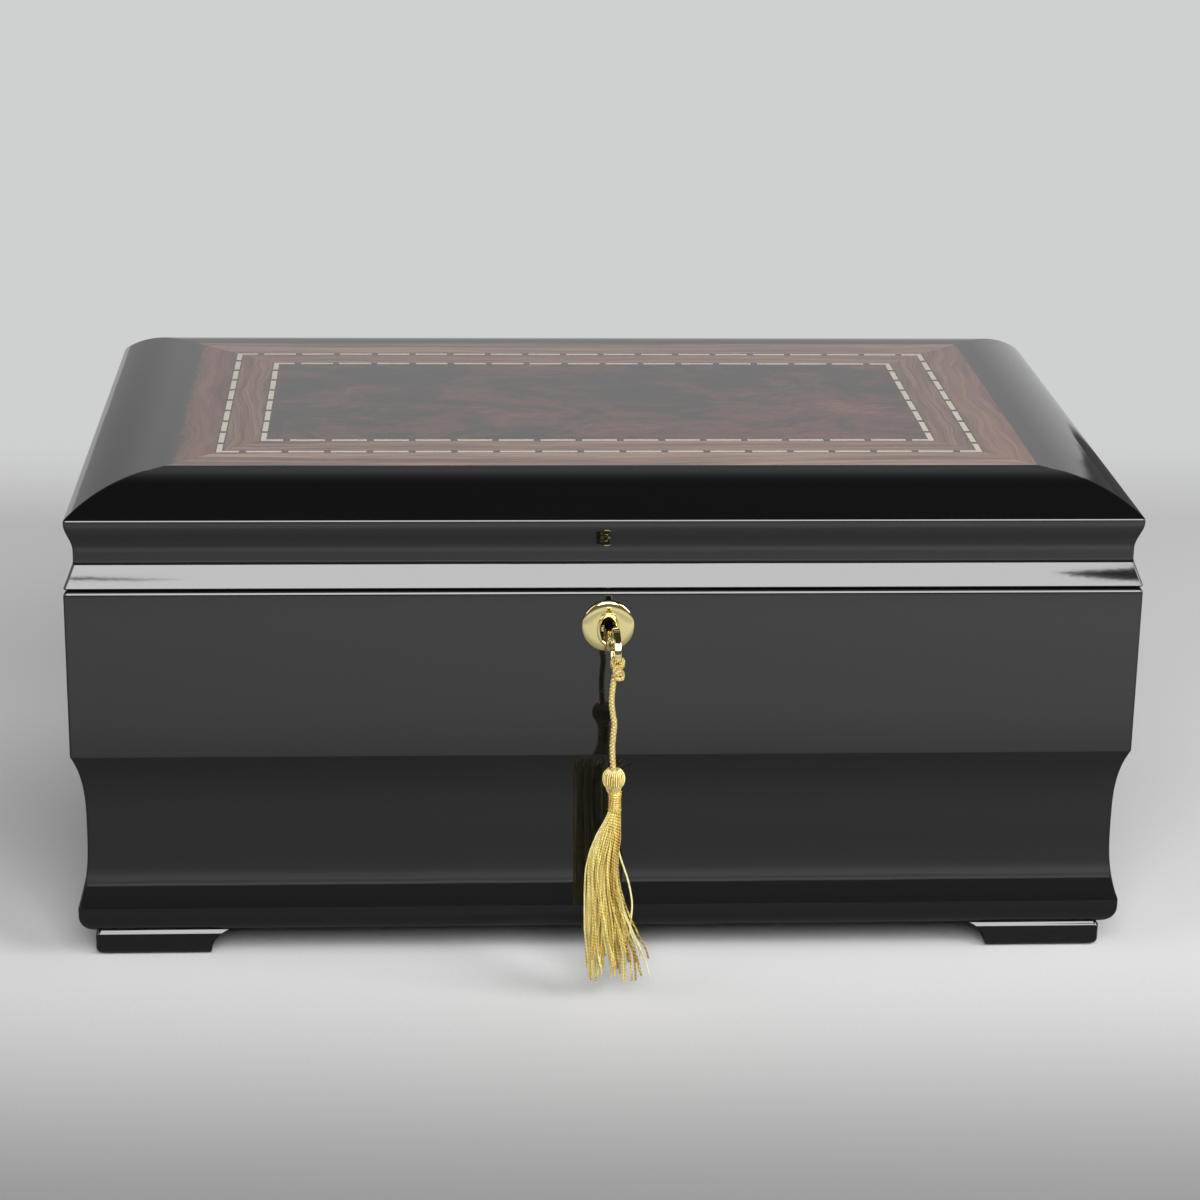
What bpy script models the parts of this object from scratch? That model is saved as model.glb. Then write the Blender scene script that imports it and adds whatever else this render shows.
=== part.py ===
"""Desktop humidor: a lacquered, moulded case with an inlaid lid, cedar lining, a lift-out tray,
quadrant hinges, a box lock with its key, and a tassel hanging from the key.

Metres, +Z up, the front faces -Y. The origin lies on the table under the middle of the box's
footprint, measured with the key in its lock and without the tassel.
"""
import math

import bmesh
import bpy
from mathutils import Matrix, Vector

# Overall sizes, taken at the lip of the lid
LIP_WIDTH = 0.4550
LIP_DEPTH = 0.2962

# Clearances
SEAT_GAP = 0.0003
RUN_GAP = 0.0005
TRAY_PLAY = 0.0010
OVERCUT = 0.0010

# Case walls: straight above, coved below, with a rounded nose at the base
RIM = 0.1703
WALL_THICK = 0.0220
FACE_PROUD = 0.0009
CREASE = 0.0958
COVE_FOOT = 0.0240
COVE_DEEP = 0.0045
NOSE_PROUD = 0.0001
NOSE_LEVEL = 0.0210
NOSE_TUCK = 0.0080
CASE_UNDER = 0.0125
REBATE_WIDTH = 0.0060
BASE_BOARD_THICK = 0.0090

# Bracket feet and their felt pads
FELT_THICK = 0.0008
FELT_RADIUS = 0.0075
FOOT_SETBACK = 0.0063
FOOT_LENGTH = 0.0500
FOOT_FLARE = 0.0110
FOOT_ROUND = 0.0030
FOOT_LEG = 0.0240

# Cedar lining
LINER_THICK = 0.0060
LINER_PROUD = 0.0050
CEDAR_FLOOR_THICK = 0.0050
TRAY_REST_THICK = 0.0050
TRAY_REST_TALL = 0.0080
TRAY_SINK = 0.0346
BASE_DIVIDER_THICK = 0.0050
BASE_DIVIDER_STOP = 0.0206

# Lift-out tray
TRAY_TALL = 0.0320
TRAY_WALL = 0.0050
TRAY_FLOOR = 0.0040
TRAY_DIVIDER_THICK = 0.0040
TRAY_DIVIDER_DROP = 0.0020
TRAY_GROOVE = 0.0015
FINGER_RADIUS = 0.0120
FINGER_WIDTH_RADIUS = 0.0220

# Lid: four moulded rails under one thick board with a rounded edge
RAIL_TALL = 0.0267
RAIL_WEB = 0.0010
LID_FLARE_PROUD = 0.0007
LID_COVE_DEEP = 0.00325
LID_COVE_START = 0.0122
LID_COVE_FLAT = 0.0040
BOARD_TUCK = 0.0025
LIP_THICK = 0.0012
CROWN_RISE = 0.0126
OVOLO_RUN = 0.0330
LID_RAIL_THICK = 0.0218
LID_LINER_THICK = 0.0050
LID_LINER_STOP = 0.0010
CEILING_THICK = 0.0037

# Inlay on the lid, from the edge of the black border inwards
VENEER_THICK = 0.0012
INLAY_INSET = 0.0396
OUTER_BAND_WIDTH = 0.0205
STRING_WIDTH = 0.0024
INNER_BAND_WIDTH = 0.0160

# Box lock in the front wall, and the link plate above it
KEY_DROP = 0.0160
LOCK_SET = 0.0090
LOCK_THICK = 0.0080
LOCK_WIDTH = 0.0360
LOCK_TALL = 0.0240
LOCK_SHELL = 0.0014
SELVEDGE_LENGTH = 0.0540
SELVEDGE_WIDTH = 0.0100
SELVEDGE_THICK = 0.0018
PRONG_WIDTH = 0.0080
PRONG_THICK = 0.0024
PRONG_DROP = 0.0090
PRONG_NOTCH_DEEP = 0.0045
PRONG_NOTCH_TALL = 0.0044
PRONG_TOE = 0.0022
BOLT_TALL = 0.0034
BOLT_THICK = 0.0024
BOLT_LENGTH = 0.0100
BOLT_CLEAR = 0.0006
KEYHOLE_RADIUS = 0.0035
KEYHOLE_SLOT_WIDTH = 0.0034
KEYHOLE_SLOT_DROP = 0.0075

# Escutcheon
ESCUTCHEON_RADIUS = 0.01115
ESCUTCHEON_EDGE = 0.0007
ESCUTCHEON_CROWN = 0.0020
ESCUTCHEON_FIELD = 0.0012
ESCUTCHEON_FIELD_RADIUS = 0.0076
ESCUTCHEON_CROWN_RADIUS = 0.0094
OVAL_HALF_WIDTH = 0.0048
OVAL_HALF_TALL = 0.0074
OVAL_DROP = 0.0022
OVAL_PROUD = 0.0014

# Key
KEY_REACH = 0.0370
STEM_RADIUS = 0.0020
COLLAR_RADIUS = 0.0032
COLLAR_LENGTH = 0.0016
BOW_HALF_LENGTH = 0.0095
BOW_HALF_TALL = 0.0085
BOW_BAR = 0.0015
BIT_REACH = 0.0062
BIT_THICK = 0.0022

# Quadrant hinges at the two back corners
HINGE_BACK = 0.0016
KNUCKLE_RADIUS = 0.0024
KNUCKLE_BORE = 0.0012
PIN_RADIUS = 0.00095
KNUCKLE_LENGTH = 0.0260
KNUCKLE_SIDE_INSET = 0.0120
LEAF_THICK = 0.0020
LEAF_SIDE_INSET = 0.0040
LEAF_BACK_LEG = 0.0340
LEAF_BACK_WIDTH = 0.0110
LEAF_SIDE_LEG = 0.0560
LEAF_SIDE_WIDTH = 0.0100
STAY_WIDTH = 0.0024
STAY_THICK = 0.0016
STAY_HEAD_RADIUS = 0.0017
STAY_HALF_ANGLE = math.radians(56.0)
POCKET_CLEAR = 0.0006

# Hygrometer and humidifier under the lid
GAUGE_X = 0.1150
GAUGE_RADIUS = 0.0250
GAUGE_DEEP = 0.0120
GAUGE_WALL = 0.0022
GAUGE_BEZEL = 0.0036
GAUGE_BEZEL_THICK = 0.0012
DIAL_THICK = 0.0008
DIAL_DROP = 0.0030
NEEDLE_LENGTH = 0.0150
NEEDLE_TAIL = 0.0050
NEEDLE_WIDTH = 0.0012
NEEDLE_THICK = 0.0005
NEEDLE_HUB_RADIUS = 0.0018
NEEDLE_TILT = math.radians(-126.0)
HUMIDIFIER_X = -0.0450
HUMIDIFIER_WIDTH = 0.1700
HUMIDIFIER_DEPTH = 0.0640
HUMIDIFIER_DEEP = 0.0125
HUMIDIFIER_WALL = 0.0024
HUMIDIFIER_CORNER = 0.0050
GRILLE_THICK = 0.0016
GRILLE_SLOT_COUNT = 11
GRILLE_SLOT_WIDTH = 0.0040
GRILLE_SLOT_LENGTH = 0.0440

# Tassel
KNOT_RADIUS = 0.0023
KNOT_TALL = 0.0085
TASSEL_CORD_RADIUS = 0.00135
TASSEL_CORD_LENGTH = 0.0403
TASSEL_HEAD_TALL = 0.0125
TASSEL_HEAD_RADIUS = 0.0051
TASSEL_NECK_TALL = 0.0070
TASSEL_NECK_RADIUS = 0.0030
TASSEL_SKIRT_BOTTOM = 0.0020
TASSEL_SKIRT_TOP_RADIUS = 0.0036
TASSEL_SKIRT_RADIUS = 0.0105
TASSEL_SKIRT_END_RADIUS = 0.0145

# Numbers of steps round curves
COVE_STEPS = 12
NOSE_STEPS = 5
LID_STEPS = 6
OVOLO_STEPS = 9
FOOT_STEPS = 7
ROUND_STEPS = 32
SMALL_STEPS = 16
STAY_STEPS = 14

# Places worked out from the sizes above
HALF_X = LIP_WIDTH / 2
HALF_Y = LIP_DEPTH / 2
FACE_X = HALF_X + FACE_PROUD
FACE_Y = HALF_Y + FACE_PROUD
INNER_INSET = WALL_THICK - FACE_PROUD
INNER_X = HALF_X - INNER_INSET
INNER_Y = HALF_Y - INNER_INSET
LID_UNDER = RIM + SEAT_GAP
RAIL_TOP = RIM + RAIL_TALL
LID_COVE_LOW = RIM + LID_COVE_START
LID_COVE_HIGH = LID_COVE_LOW + LID_COVE_FLAT
LIP_LOW = RAIL_TOP + BOARD_TUCK
LIP_EDGE = LIP_LOW + LIP_THICK
HEIGHT = LIP_EDGE + CROWN_RISE
BASE_BOARD_TOP = CASE_UNDER + BASE_BOARD_THICK
CEDAR_FLOOR_LOW = BASE_BOARD_TOP + SEAT_GAP
CEDAR_FLOOR_TOP = CEDAR_FLOOR_LOW + CEDAR_FLOOR_THICK
LINER_TOP = RIM + LINER_PROUD
ROOM_X = INNER_X - SEAT_GAP - LINER_THICK
ROOM_Y = INNER_Y - SEAT_GAP - LINER_THICK
HINGE_Y = FACE_Y + HINGE_BACK
HINGE_Z = RIM + SEAT_GAP / 2
STAY_RISE = RAIL_TOP - RAIL_WEB - POCKET_CLEAR - STAY_HEAD_RADIUS - HINGE_Z
STAY_RADIUS = STAY_RISE / math.sin(STAY_HALF_ANGLE)
POCKET_DEPTH = HINGE_Z - RIM + STAY_RISE + STAY_HEAD_RADIUS + POCKET_CLEAR - SEAT_GAP
KEY_LEVEL = RIM - KEY_DROP
LOCK_Y = -FACE_Y + LOCK_SET + LOCK_THICK / 2
KEY_TIP_Y = -FACE_Y - KEY_REACH
KEY_END_Y = LOCK_Y + LOCK_THICK / 2 - LOCK_SHELL - RUN_GAP
BIT_LENGTH = LOCK_THICK - 2 * (LOCK_SHELL + RUN_GAP)
BOARD_UNDER = RAIL_TOP + SEAT_GAP
CEILING_LOW = RAIL_TOP - CEILING_THICK
TRAY_REST_TOP = RIM - TRAY_SINK
TRAY_LOW = TRAY_REST_TOP + SEAT_GAP
TRAY_HALF_X = ROOM_X - TRAY_PLAY
TRAY_HALF_Y = ROOM_Y - TRAY_PLAY
TASSEL_Y = KEY_TIP_Y - SEAT_GAP - KNOT_RADIUS
KNOT_TOP = KEY_LEVEL
KNOT_LOW = KNOT_TOP - KNOT_TALL
SWING_Z = KNOT_LOW + 2 * KNOT_RADIUS ** 2 / KNOT_TALL
TASSEL_HEAD_TOP = KNOT_LOW - TASSEL_CORD_LENGTH
ORIGIN_SHIFT = (-KEY_TIP_Y - HINGE_Y - KNUCKLE_RADIUS) / 2
WELD = SEAT_GAP / 300


def clear_scene():
    """Remove whatever the scene holds."""
    for thing in list(bpy.data.objects):
        bpy.data.objects.remove(thing, do_unlink=True)


clear_scene()
PARTS = bpy.data.collections.new("desktop_humidor")
CUTTERS = bpy.data.collections.new("cutters")
bpy.context.scene.collection.children.link(PARTS)
bpy.context.scene.collection.children.link(CUTTERS)


def material(name, colour, roughness, metallic=0.0):
    """One Principled material."""
    made = bpy.data.materials.new(name)
    made.use_nodes = True
    shader = made.node_tree.nodes["Principled BSDF"]
    shader.inputs["Base Color"].default_value = (*colour, 1.0)
    shader.inputs["Roughness"].default_value = roughness
    shader.inputs["Metallic"].default_value = metallic
    return made


LACQUER = material("black_lacquer", (0.012, 0.011, 0.011), 0.06)
CEDAR = material("cedar", (0.46, 0.25, 0.13), 0.62)
FELT = material("green_felt", (0.03, 0.09, 0.05), 0.95)
BRASS = material("polished_brass", (0.83, 0.62, 0.24), 0.16, 1.0)
STEEL = material("steel", (0.55, 0.55, 0.56), 0.34, 1.0)
BURL = material("burl_veneer", (0.16, 0.055, 0.03), 0.12)
BAND = material("cross_band_veneer", (0.30, 0.15, 0.08), 0.12)
STRINGING = material("cream_stringing", (0.72, 0.62, 0.42), 0.14)
DIAL_WHITE = material("dial_white", (0.85, 0.84, 0.80), 0.45)
BLACK_PLASTIC = material("black_plastic", (0.025, 0.025, 0.027), 0.42)
GOLD_THREAD = material("gold_thread", (0.66, 0.50, 0.17), 0.42)


def lathe_turn(centre, direction):
    """Place of a turned piece whose own +Z points along direction."""
    turn = Vector((0, 0, 1)).rotation_difference(Vector(direction)).to_matrix().to_4x4()
    return Matrix.Translation(Vector(centre)) @ turn


def finish_mesh(name, mesh, finish=None, parent=None):
    """Make an object of a mesh, as a piece with a finish, or else as a hidden cutter."""
    made = bpy.data.objects.new(name, mesh)
    if finish is None:
        made.hide_render = True
        made.display_type = 'WIRE'
        CUTTERS.objects.link(made)
    else:
        mesh.materials.clear()
        mesh.materials.append(finish)
        PARTS.objects.link(made)
    made.parent = parent or BOX
    made.matrix_parent_inverse = (
        Matrix.Translation(made.parent["place"]).inverted() if parent else Matrix.Identity(4))
    return made


def empty_at(name, place, parent=None):
    """An empty at a place of the box, such as a joint's axis."""
    made = bpy.data.objects.new(name, None)
    made["place"] = Vector(place)
    PARTS.objects.link(made)
    if parent:
        made.parent = parent
        made.location = Vector(place) - Vector(parent["place"])
    else:
        made.location = Vector(place)
    return made


BOX = empty_at("box", (0, ORIGIN_SHIFT, 0))
BOX["place"] = Vector((0, 0, 0))
LID_AXIS = empty_at("lid_axis", (0, HINGE_Y, HINGE_Z), BOX)
KEY_AXIS = empty_at("key_axis", (0, -FACE_Y, KEY_LEVEL), BOX)
KNOT_AXIS = empty_at("knot_axis", (0, TASSEL_Y, KEY_LEVEL), KEY_AXIS)
SWING_AXIS = empty_at("swing_axis", (0, TASSEL_Y, SWING_Z), KNOT_AXIS)
NEEDLE_AXIS = empty_at("needle_axis", (GAUGE_X, 0, CEILING_LOW), LID_AXIS)


def mesh_from(bm, name, smooth=None):
    """Write a bmesh out as a mesh with its faces pointing out."""
    bmesh.ops.recalc_face_normals(bm, faces=bm.faces)
    mesh = bpy.data.meshes.new(name)
    bm.to_mesh(mesh)
    bm.free()
    if smooth:
        mesh.shade_smooth()
        mesh.set_sharp_from_angle(angle=math.radians(smooth))
    return mesh


def evaluated_mesh(thing, name):
    """The mesh that an object shows, welded, with the object itself removed."""
    bpy.context.view_layer.update()
    graph = bpy.context.evaluated_depsgraph_get()
    mesh = bpy.data.meshes.new_from_object(thing.evaluated_get(graph))
    mesh.name = name
    bm = bmesh.new()
    bm.from_mesh(mesh)
    bmesh.ops.remove_doubles(bm, verts=bm.verts, dist=WELD)
    bmesh.ops.recalc_face_normals(bm, faces=bm.faces)
    bm.to_mesh(mesh)
    bm.free()
    bpy.data.objects.remove(thing, do_unlink=True)
    return mesh


def box(name, low, high, finish=None, parent=None, bevel=0.0):
    """A box between two corners, with its edges eased where bevel is given."""
    bm = bmesh.new()
    bmesh.ops.create_cube(bm, size=1)
    low, high = Vector(low), Vector(high)
    bmesh.ops.scale(bm, vec=high - low, verts=bm.verts)
    bmesh.ops.translate(bm, vec=(low + high) / 2, verts=bm.verts)
    made = finish_mesh(name, mesh_from(bm, name), finish, parent)
    if bevel:
        ease = made.modifiers.new("eased_edges", 'BEVEL')
        ease.width = bevel
        ease.segments = 2
    return made


def rod(name, start, end, radius, finish=None, parent=None, steps=SMALL_STEPS):
    """A cylinder from start to end."""
    start, end = Vector(start), Vector(end)
    bm = bmesh.new()
    bmesh.ops.create_cone(bm, cap_ends=True, segments=steps, radius1=radius, radius2=radius,
                          depth=(end - start).length)
    bmesh.ops.transform(bm, matrix=lathe_turn((start + end) / 2, end - start), verts=bm.verts)
    return finish_mesh(name, mesh_from(bm, name, 40), finish, parent)


def flat_outline(name, loops, thick, place, finish=None, parent=None):
    """A plate cut to closed outlines, centred on its own plane; inner loops are holes."""
    curve = bpy.data.curves.new(name, 'CURVE')
    curve.dimensions = '2D'
    curve.fill_mode = 'BOTH'
    curve.extrude = thick / 2
    for loop in loops:
        spline = curve.splines.new('POLY')
        spline.points.add(len(loop) - 1)
        for point, (u, v) in zip(spline.points, loop):
            point.co = (u, v, 0, 1)
        spline.use_cyclic_u = True
    drawn = bpy.data.objects.new(name, curve)
    PARTS.objects.link(drawn)
    mesh = evaluated_mesh(drawn, name)
    mesh.transform(place)
    return finish_mesh(name, mesh, finish, parent)


def turned(name, profile, place, finish=None, parent=None, steps=ROUND_STEPS):
    """A turned solid: profile points (radius, height) run down its outer side."""
    mesh = bpy.data.meshes.new(name)
    points = [(radius, 0, height) for radius, height in profile]
    mesh.from_pydata(points, [(k, k + 1) for k in range(len(points) - 1)], [])
    spun = bpy.data.objects.new(name, mesh)
    PARTS.objects.link(spun)
    screw = spun.modifiers.new("turn", 'SCREW')
    screw.steps = steps
    screw.render_steps = steps
    screw.use_merge_vertices = True
    screw.merge_threshold = WELD
    solid = evaluated_mesh(spun, name)
    solid.transform(place)
    solid.shade_smooth()
    solid.set_sharp_from_angle(angle=math.radians(40))
    return finish_mesh(name, solid, finish, parent)


def cut(piece, cutter):
    """Take a cutter out of a piece."""
    modifier = piece.modifiers.new("cut_" + cutter.name, 'BOOLEAN')
    modifier.operation = 'DIFFERENCE'
    modifier.object = cutter


def join(piece, other):
    """Fuse a hidden solid to a piece."""
    modifier = piece.modifiers.new("join_" + other.name, 'BOOLEAN')
    modifier.operation = 'UNION'
    modifier.object = other


PLAN = Matrix.Identity(4)
FRONT_VIEW = Matrix(((1, 0, 0, 0), (0, 0, -1, 0), (0, 1, 0, 0), (0, 0, 0, 1)))
SIDE_VIEW = Matrix(((0, 0, 1, 0), (1, 0, 0, 0), (0, 1, 0, 0), (0, 0, 0, 1)))


def placed(x, y, z, view=PLAN):
    """A drawing plane put at a point of the box."""
    return Matrix.Translation((x, y, z)) @ view


def mitred_bar(name, outline, side, finish, parent=None):
    """A bar of one section with mitred ends, on one side of the box.

    Outline points are (inset from the lip, level). Each end is cut at 45 degrees, so a point
    of the section ends as far from the corner as it lies inside the lip.
    """
    turn, run, across = {"front": (0, HALF_X, HALF_Y), "right": (90, HALF_Y, HALF_X),
                         "back": (180, HALF_X, HALF_Y), "left": (270, HALF_Y, HALF_X)}[side]
    setback = SEAT_GAP / math.sqrt(2)
    bm = bmesh.new()
    section = bm.faces.new([bm.verts.new((0, inset - across, level)) for inset, level in outline])
    grown = bmesh.ops.extrude_face_region(bm, geom=[section])["geom"]
    far_end = {v for v in grown if isinstance(v, bmesh.types.BMVert)}
    for vert in bm.verts:
        end = run - (vert.co.y + across) - setback
        vert.co.x = end if vert in far_end else -end
    bmesh.ops.rotate(bm, verts=bm.verts, matrix=Matrix.Rotation(math.radians(turn), 3, 'Z'))
    return finish_mesh(name, mesh_from(bm, name, 35), finish, parent)


SIDES = ("front", "back", "left", "right")


def cosine_step(share):
    """A smooth step from 0 to 1."""
    return (1 - math.cos(math.pi * min(max(share, 0), 1))) / 2


def case_section():
    """Section of a case wall: straight face, long cove, rounded nose, rebate, inner face."""
    middle = (CREASE + COVE_FOOT) / 2
    half = (CREASE - COVE_FOOT) / 2
    points = [(-FACE_PROUD, RIM)]
    for k in range(COVE_STEPS + 1):
        share = 1 - 2 * k / COVE_STEPS
        edge = -FACE_PROUD if share > 0 else -NOSE_PROUD
        points.append((COVE_DEEP - (COVE_DEEP - edge) * abs(share) ** 3, middle + half * share))
    for k in range(NOSE_STEPS + 1):
        angle = math.pi / 2 * k / NOSE_STEPS
        points.append((NOSE_TUCK - (NOSE_TUCK + NOSE_PROUD) * math.cos(angle),
                       NOSE_LEVEL - (NOSE_LEVEL - CASE_UNDER) * math.sin(angle)))
    shoulder = BASE_BOARD_TOP + SEAT_GAP
    points += [(INNER_INSET - REBATE_WIDTH, CASE_UNDER), (INNER_INSET - REBATE_WIDTH, shoulder),
               (INNER_INSET, shoulder), (INNER_INSET, RIM)]
    return points


def lid_side_inset(level):
    """Inset of the lid's side at a level: flared foot, cove, then out to the lip."""
    if level < LID_COVE_HIGH:
        share = (level - LID_UNDER) / (LID_COVE_LOW - LID_UNDER)
        return -LID_FLARE_PROUD + (LID_COVE_DEEP + LID_FLARE_PROUD) * cosine_step(share)
    return LID_COVE_DEEP * (1 - cosine_step((level - LID_COVE_HIGH) / (LIP_LOW - LID_COVE_HIGH)))


def between(low, high, steps):
    """Evenly spaced values from low to high."""
    return [low + (high - low) * k / steps for k in range(steps + 1)]


def lid_rail_section():
    """Section of a lid rail, from its seam with the case up to the underside of the board."""
    outer = [(lid_side_inset(level), level) for level in between(LID_UNDER, LID_COVE_LOW, LID_STEPS)]
    outer += [(lid_side_inset(level), level) for level in between(LID_COVE_HIGH, RAIL_TOP, LID_STEPS)]
    return [(LID_RAIL_THICK - LID_FLARE_PROUD, LID_UNDER)] + outer + [
        (LID_RAIL_THICK - LID_FLARE_PROUD, RAIL_TOP)]


def board_levels():
    """Edge of the lid board as (inset, level): lower side, lip, then the quarter round."""
    drop = HEIGHT - LIP_EDGE
    radius = (OVOLO_RUN ** 2 + drop ** 2) / (2 * drop)
    points = [(lid_side_inset(BOARD_UNDER), BOARD_UNDER), (0, LIP_LOW), (0, LIP_EDGE)]
    for k in range(1, OVOLO_STEPS + 1):
        inset = OVOLO_RUN * k / OVOLO_STEPS
        away = OVOLO_RUN - inset
        points.append((inset, HEIGHT - radius + math.sqrt(radius ** 2 - away ** 2)))
    return points


def stacked_rectangles(name, levels, finish, parent):
    """A loft through rectangles that are inset from the lip, capped below and above."""
    bm = bmesh.new()
    rings = []
    for inset, level in levels:
        x, y = HALF_X - inset, HALF_Y - inset
        rings.append([bm.verts.new(p) for p in ((-x, -y, level), (x, -y, level),
                                                (x, y, level), (-x, y, level))])
    for lower, upper in zip(rings, rings[1:]):
        for k in range(4):
            bm.faces.new((lower[k], lower[k - 3], upper[k - 3], upper[k]))
    bm.faces.new(rings[0])
    bm.faces.new(rings[-1])
    return finish_mesh(name, mesh_from(bm, name, 25), finish, parent)


def rectangle(half_x, half_y):
    """Corners of a rectangle about the origin."""
    return [(-half_x, -half_y), (half_x, -half_y), (half_x, half_y), (-half_x, half_y)]


def arc(centre, radius, start, end, steps):
    """Points along an arc; radius may be a pair for an ellipse."""
    across, along = radius if isinstance(radius, tuple) else (radius, radius)
    return [(centre[0] + across * math.cos(a), centre[1] + along * math.sin(a))
            for a in between(start, end, steps)]


def make_case():
    """Four mitred walls and the bottom board let into their rebate."""
    walls = {side: mitred_bar(side + "_wall", case_section(), side, LACQUER) for side in SIDES}
    reach = REBATE_WIDTH - SEAT_GAP
    box("bottom_board", (-INNER_X - reach, -INNER_Y - reach, CASE_UNDER),
        (INNER_X + reach, INNER_Y + reach, BASE_BOARD_TOP), LACQUER)
    return walls


def foot_outline():
    """Front view of a foot: rounded outer edge at the floor, concave bracket at its inner end."""
    top, floor = CASE_UNDER - SEAT_GAP, FELT_THICK + SEAT_GAP
    points = [(0, top)]
    points += arc((FOOT_ROUND, floor + FOOT_ROUND), FOOT_ROUND, math.pi, 1.5 * math.pi, 3)
    points += arc((FOOT_LENGTH + FOOT_FLARE, floor), (FOOT_FLARE, top - floor),
                  math.pi, math.pi / 2, FOOT_STEPS)
    return points


def make_feet():
    """Four bracket feet, each on a round felt pad."""
    corner_x, corner_y = HALF_X - FOOT_SETBACK, HALF_Y - FOOT_SETBACK
    span = FOOT_LENGTH + FOOT_FLARE
    pad = FOOT_LEG / 2
    for end, sx, sy in (("front_left", -1, -1), ("front_right", 1, -1),
                        ("back_left", -1, 1), ("back_right", 1, 1)):
        along_x = [(sx * (corner_x - u), z) for u, z in foot_outline()]
        along_y = [(sy * (corner_y - u), z) for u, z in foot_outline()]
        middle_y, middle_x = sy * (corner_y - span / 2), sx * (corner_x - span / 2)
        foot = flat_outline("foot_" + end, [along_x], span + 2 * OVERCUT,
                            placed(0, middle_y, 0, FRONT_VIEW), LACQUER)
        other = flat_outline("foot_side_" + end, [along_y], span + 2 * OVERCUT,
                             placed(middle_x, 0, 0, SIDE_VIEW))
        shape = foot.modifiers.new("side_view", 'BOOLEAN')
        shape.operation = 'INTERSECT'
        shape.object = other
        near = Vector((sx * (corner_x - FOOT_LEG), sy * (corner_y - FOOT_LEG), -OVERCUT))
        far = Vector((sx * (corner_x - span - OVERCUT), sy * (corner_y - span - OVERCUT),
                      CASE_UNDER + OVERCUT))
        cut(foot, box("foot_inside_" + end, [min(a, b) for a, b in zip(near, far)],
                      [max(a, b) for a, b in zip(near, far)]))
        x, y = sx * (corner_x - pad), sy * (corner_y - pad)
        rod("felt_pad_" + end, (x, y, 0), (x, y, FELT_THICK), FELT_RADIUS, FELT, steps=24)


def make_lining():
    """Cedar floor, four liner boards standing proud of the rim, tray rests and base divider."""
    gap = SEAT_GAP
    box("cedar_floor", (gap - INNER_X, gap - INNER_Y, CEDAR_FLOOR_LOW),
        (INNER_X - gap, INNER_Y - gap, CEDAR_FLOOR_TOP), CEDAR)
    outer = INNER_INSET + gap
    inner = outer + LINER_THICK
    foot = CEDAR_FLOOR_TOP + gap
    ease = LINER_THICK / 4
    outline = [(outer, foot), (inner, foot), (inner, LINER_TOP - ease), (inner - ease, LINER_TOP),
               (outer + ease, LINER_TOP), (outer, LINER_TOP - ease)]
    for side in SIDES:
        mitred_bar("case_liner_" + side, outline, side, CEDAR)
    for side, sign in (("left", -1), ("right", 1)):
        xs = sorted((sign * (ROOM_X - gap), sign * (ROOM_X - gap - TRAY_REST_THICK)))
        box("tray_rest_" + side, (xs[0], gap - ROOM_Y, TRAY_REST_TOP - TRAY_REST_TALL),
            (xs[1], ROOM_Y - gap, TRAY_REST_TOP), CEDAR)
    box("base_divider", (-BASE_DIVIDER_THICK / 2, RUN_GAP - ROOM_Y, foot),
        (BASE_DIVIDER_THICK / 2, ROOM_Y - RUN_GAP, TRAY_REST_TOP - BASE_DIVIDER_STOP), CEDAR)


def make_tray():
    """Lift-out cedar tray with finger dips at both ends, and its loose divider."""
    top = TRAY_LOW + TRAY_TALL
    tray = box("tray", (-TRAY_HALF_X, -TRAY_HALF_Y, TRAY_LOW), (TRAY_HALF_X, TRAY_HALF_Y, top), CEDAR)
    inside_x, inside_y = TRAY_HALF_X - TRAY_WALL, TRAY_HALF_Y - TRAY_WALL
    cut(tray, box("tray_inside", (-inside_x, -inside_y, TRAY_LOW + TRAY_FLOOR),
                  (inside_x, inside_y, top + OVERCUT)))
    groove = TRAY_DIVIDER_THICK / 2 + RUN_GAP
    cut(tray, box("tray_grooves", (-groove, -inside_y - TRAY_GROOVE, TRAY_LOW + TRAY_FLOOR),
                  (groove, inside_y + TRAY_GROOVE, top + 2 * OVERCUT)))
    dip = arc((0, top + OVERCUT), (FINGER_WIDTH_RADIUS, FINGER_RADIUS + OVERCUT),
              0, -math.pi, ROUND_STEPS // 2)
    cut(tray, flat_outline("finger_dips", [dip], 2 * (TRAY_HALF_X + OVERCUT), placed(0, 0, 0, SIDE_VIEW)))
    end_y = inside_y + TRAY_GROOVE - RUN_GAP
    low = TRAY_LOW + TRAY_FLOOR + SEAT_GAP
    box("tray_divider", (-TRAY_DIVIDER_THICK / 2, -end_y, low),
        (TRAY_DIVIDER_THICK / 2, end_y, top - TRAY_DIVIDER_DROP), CEDAR)


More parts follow.
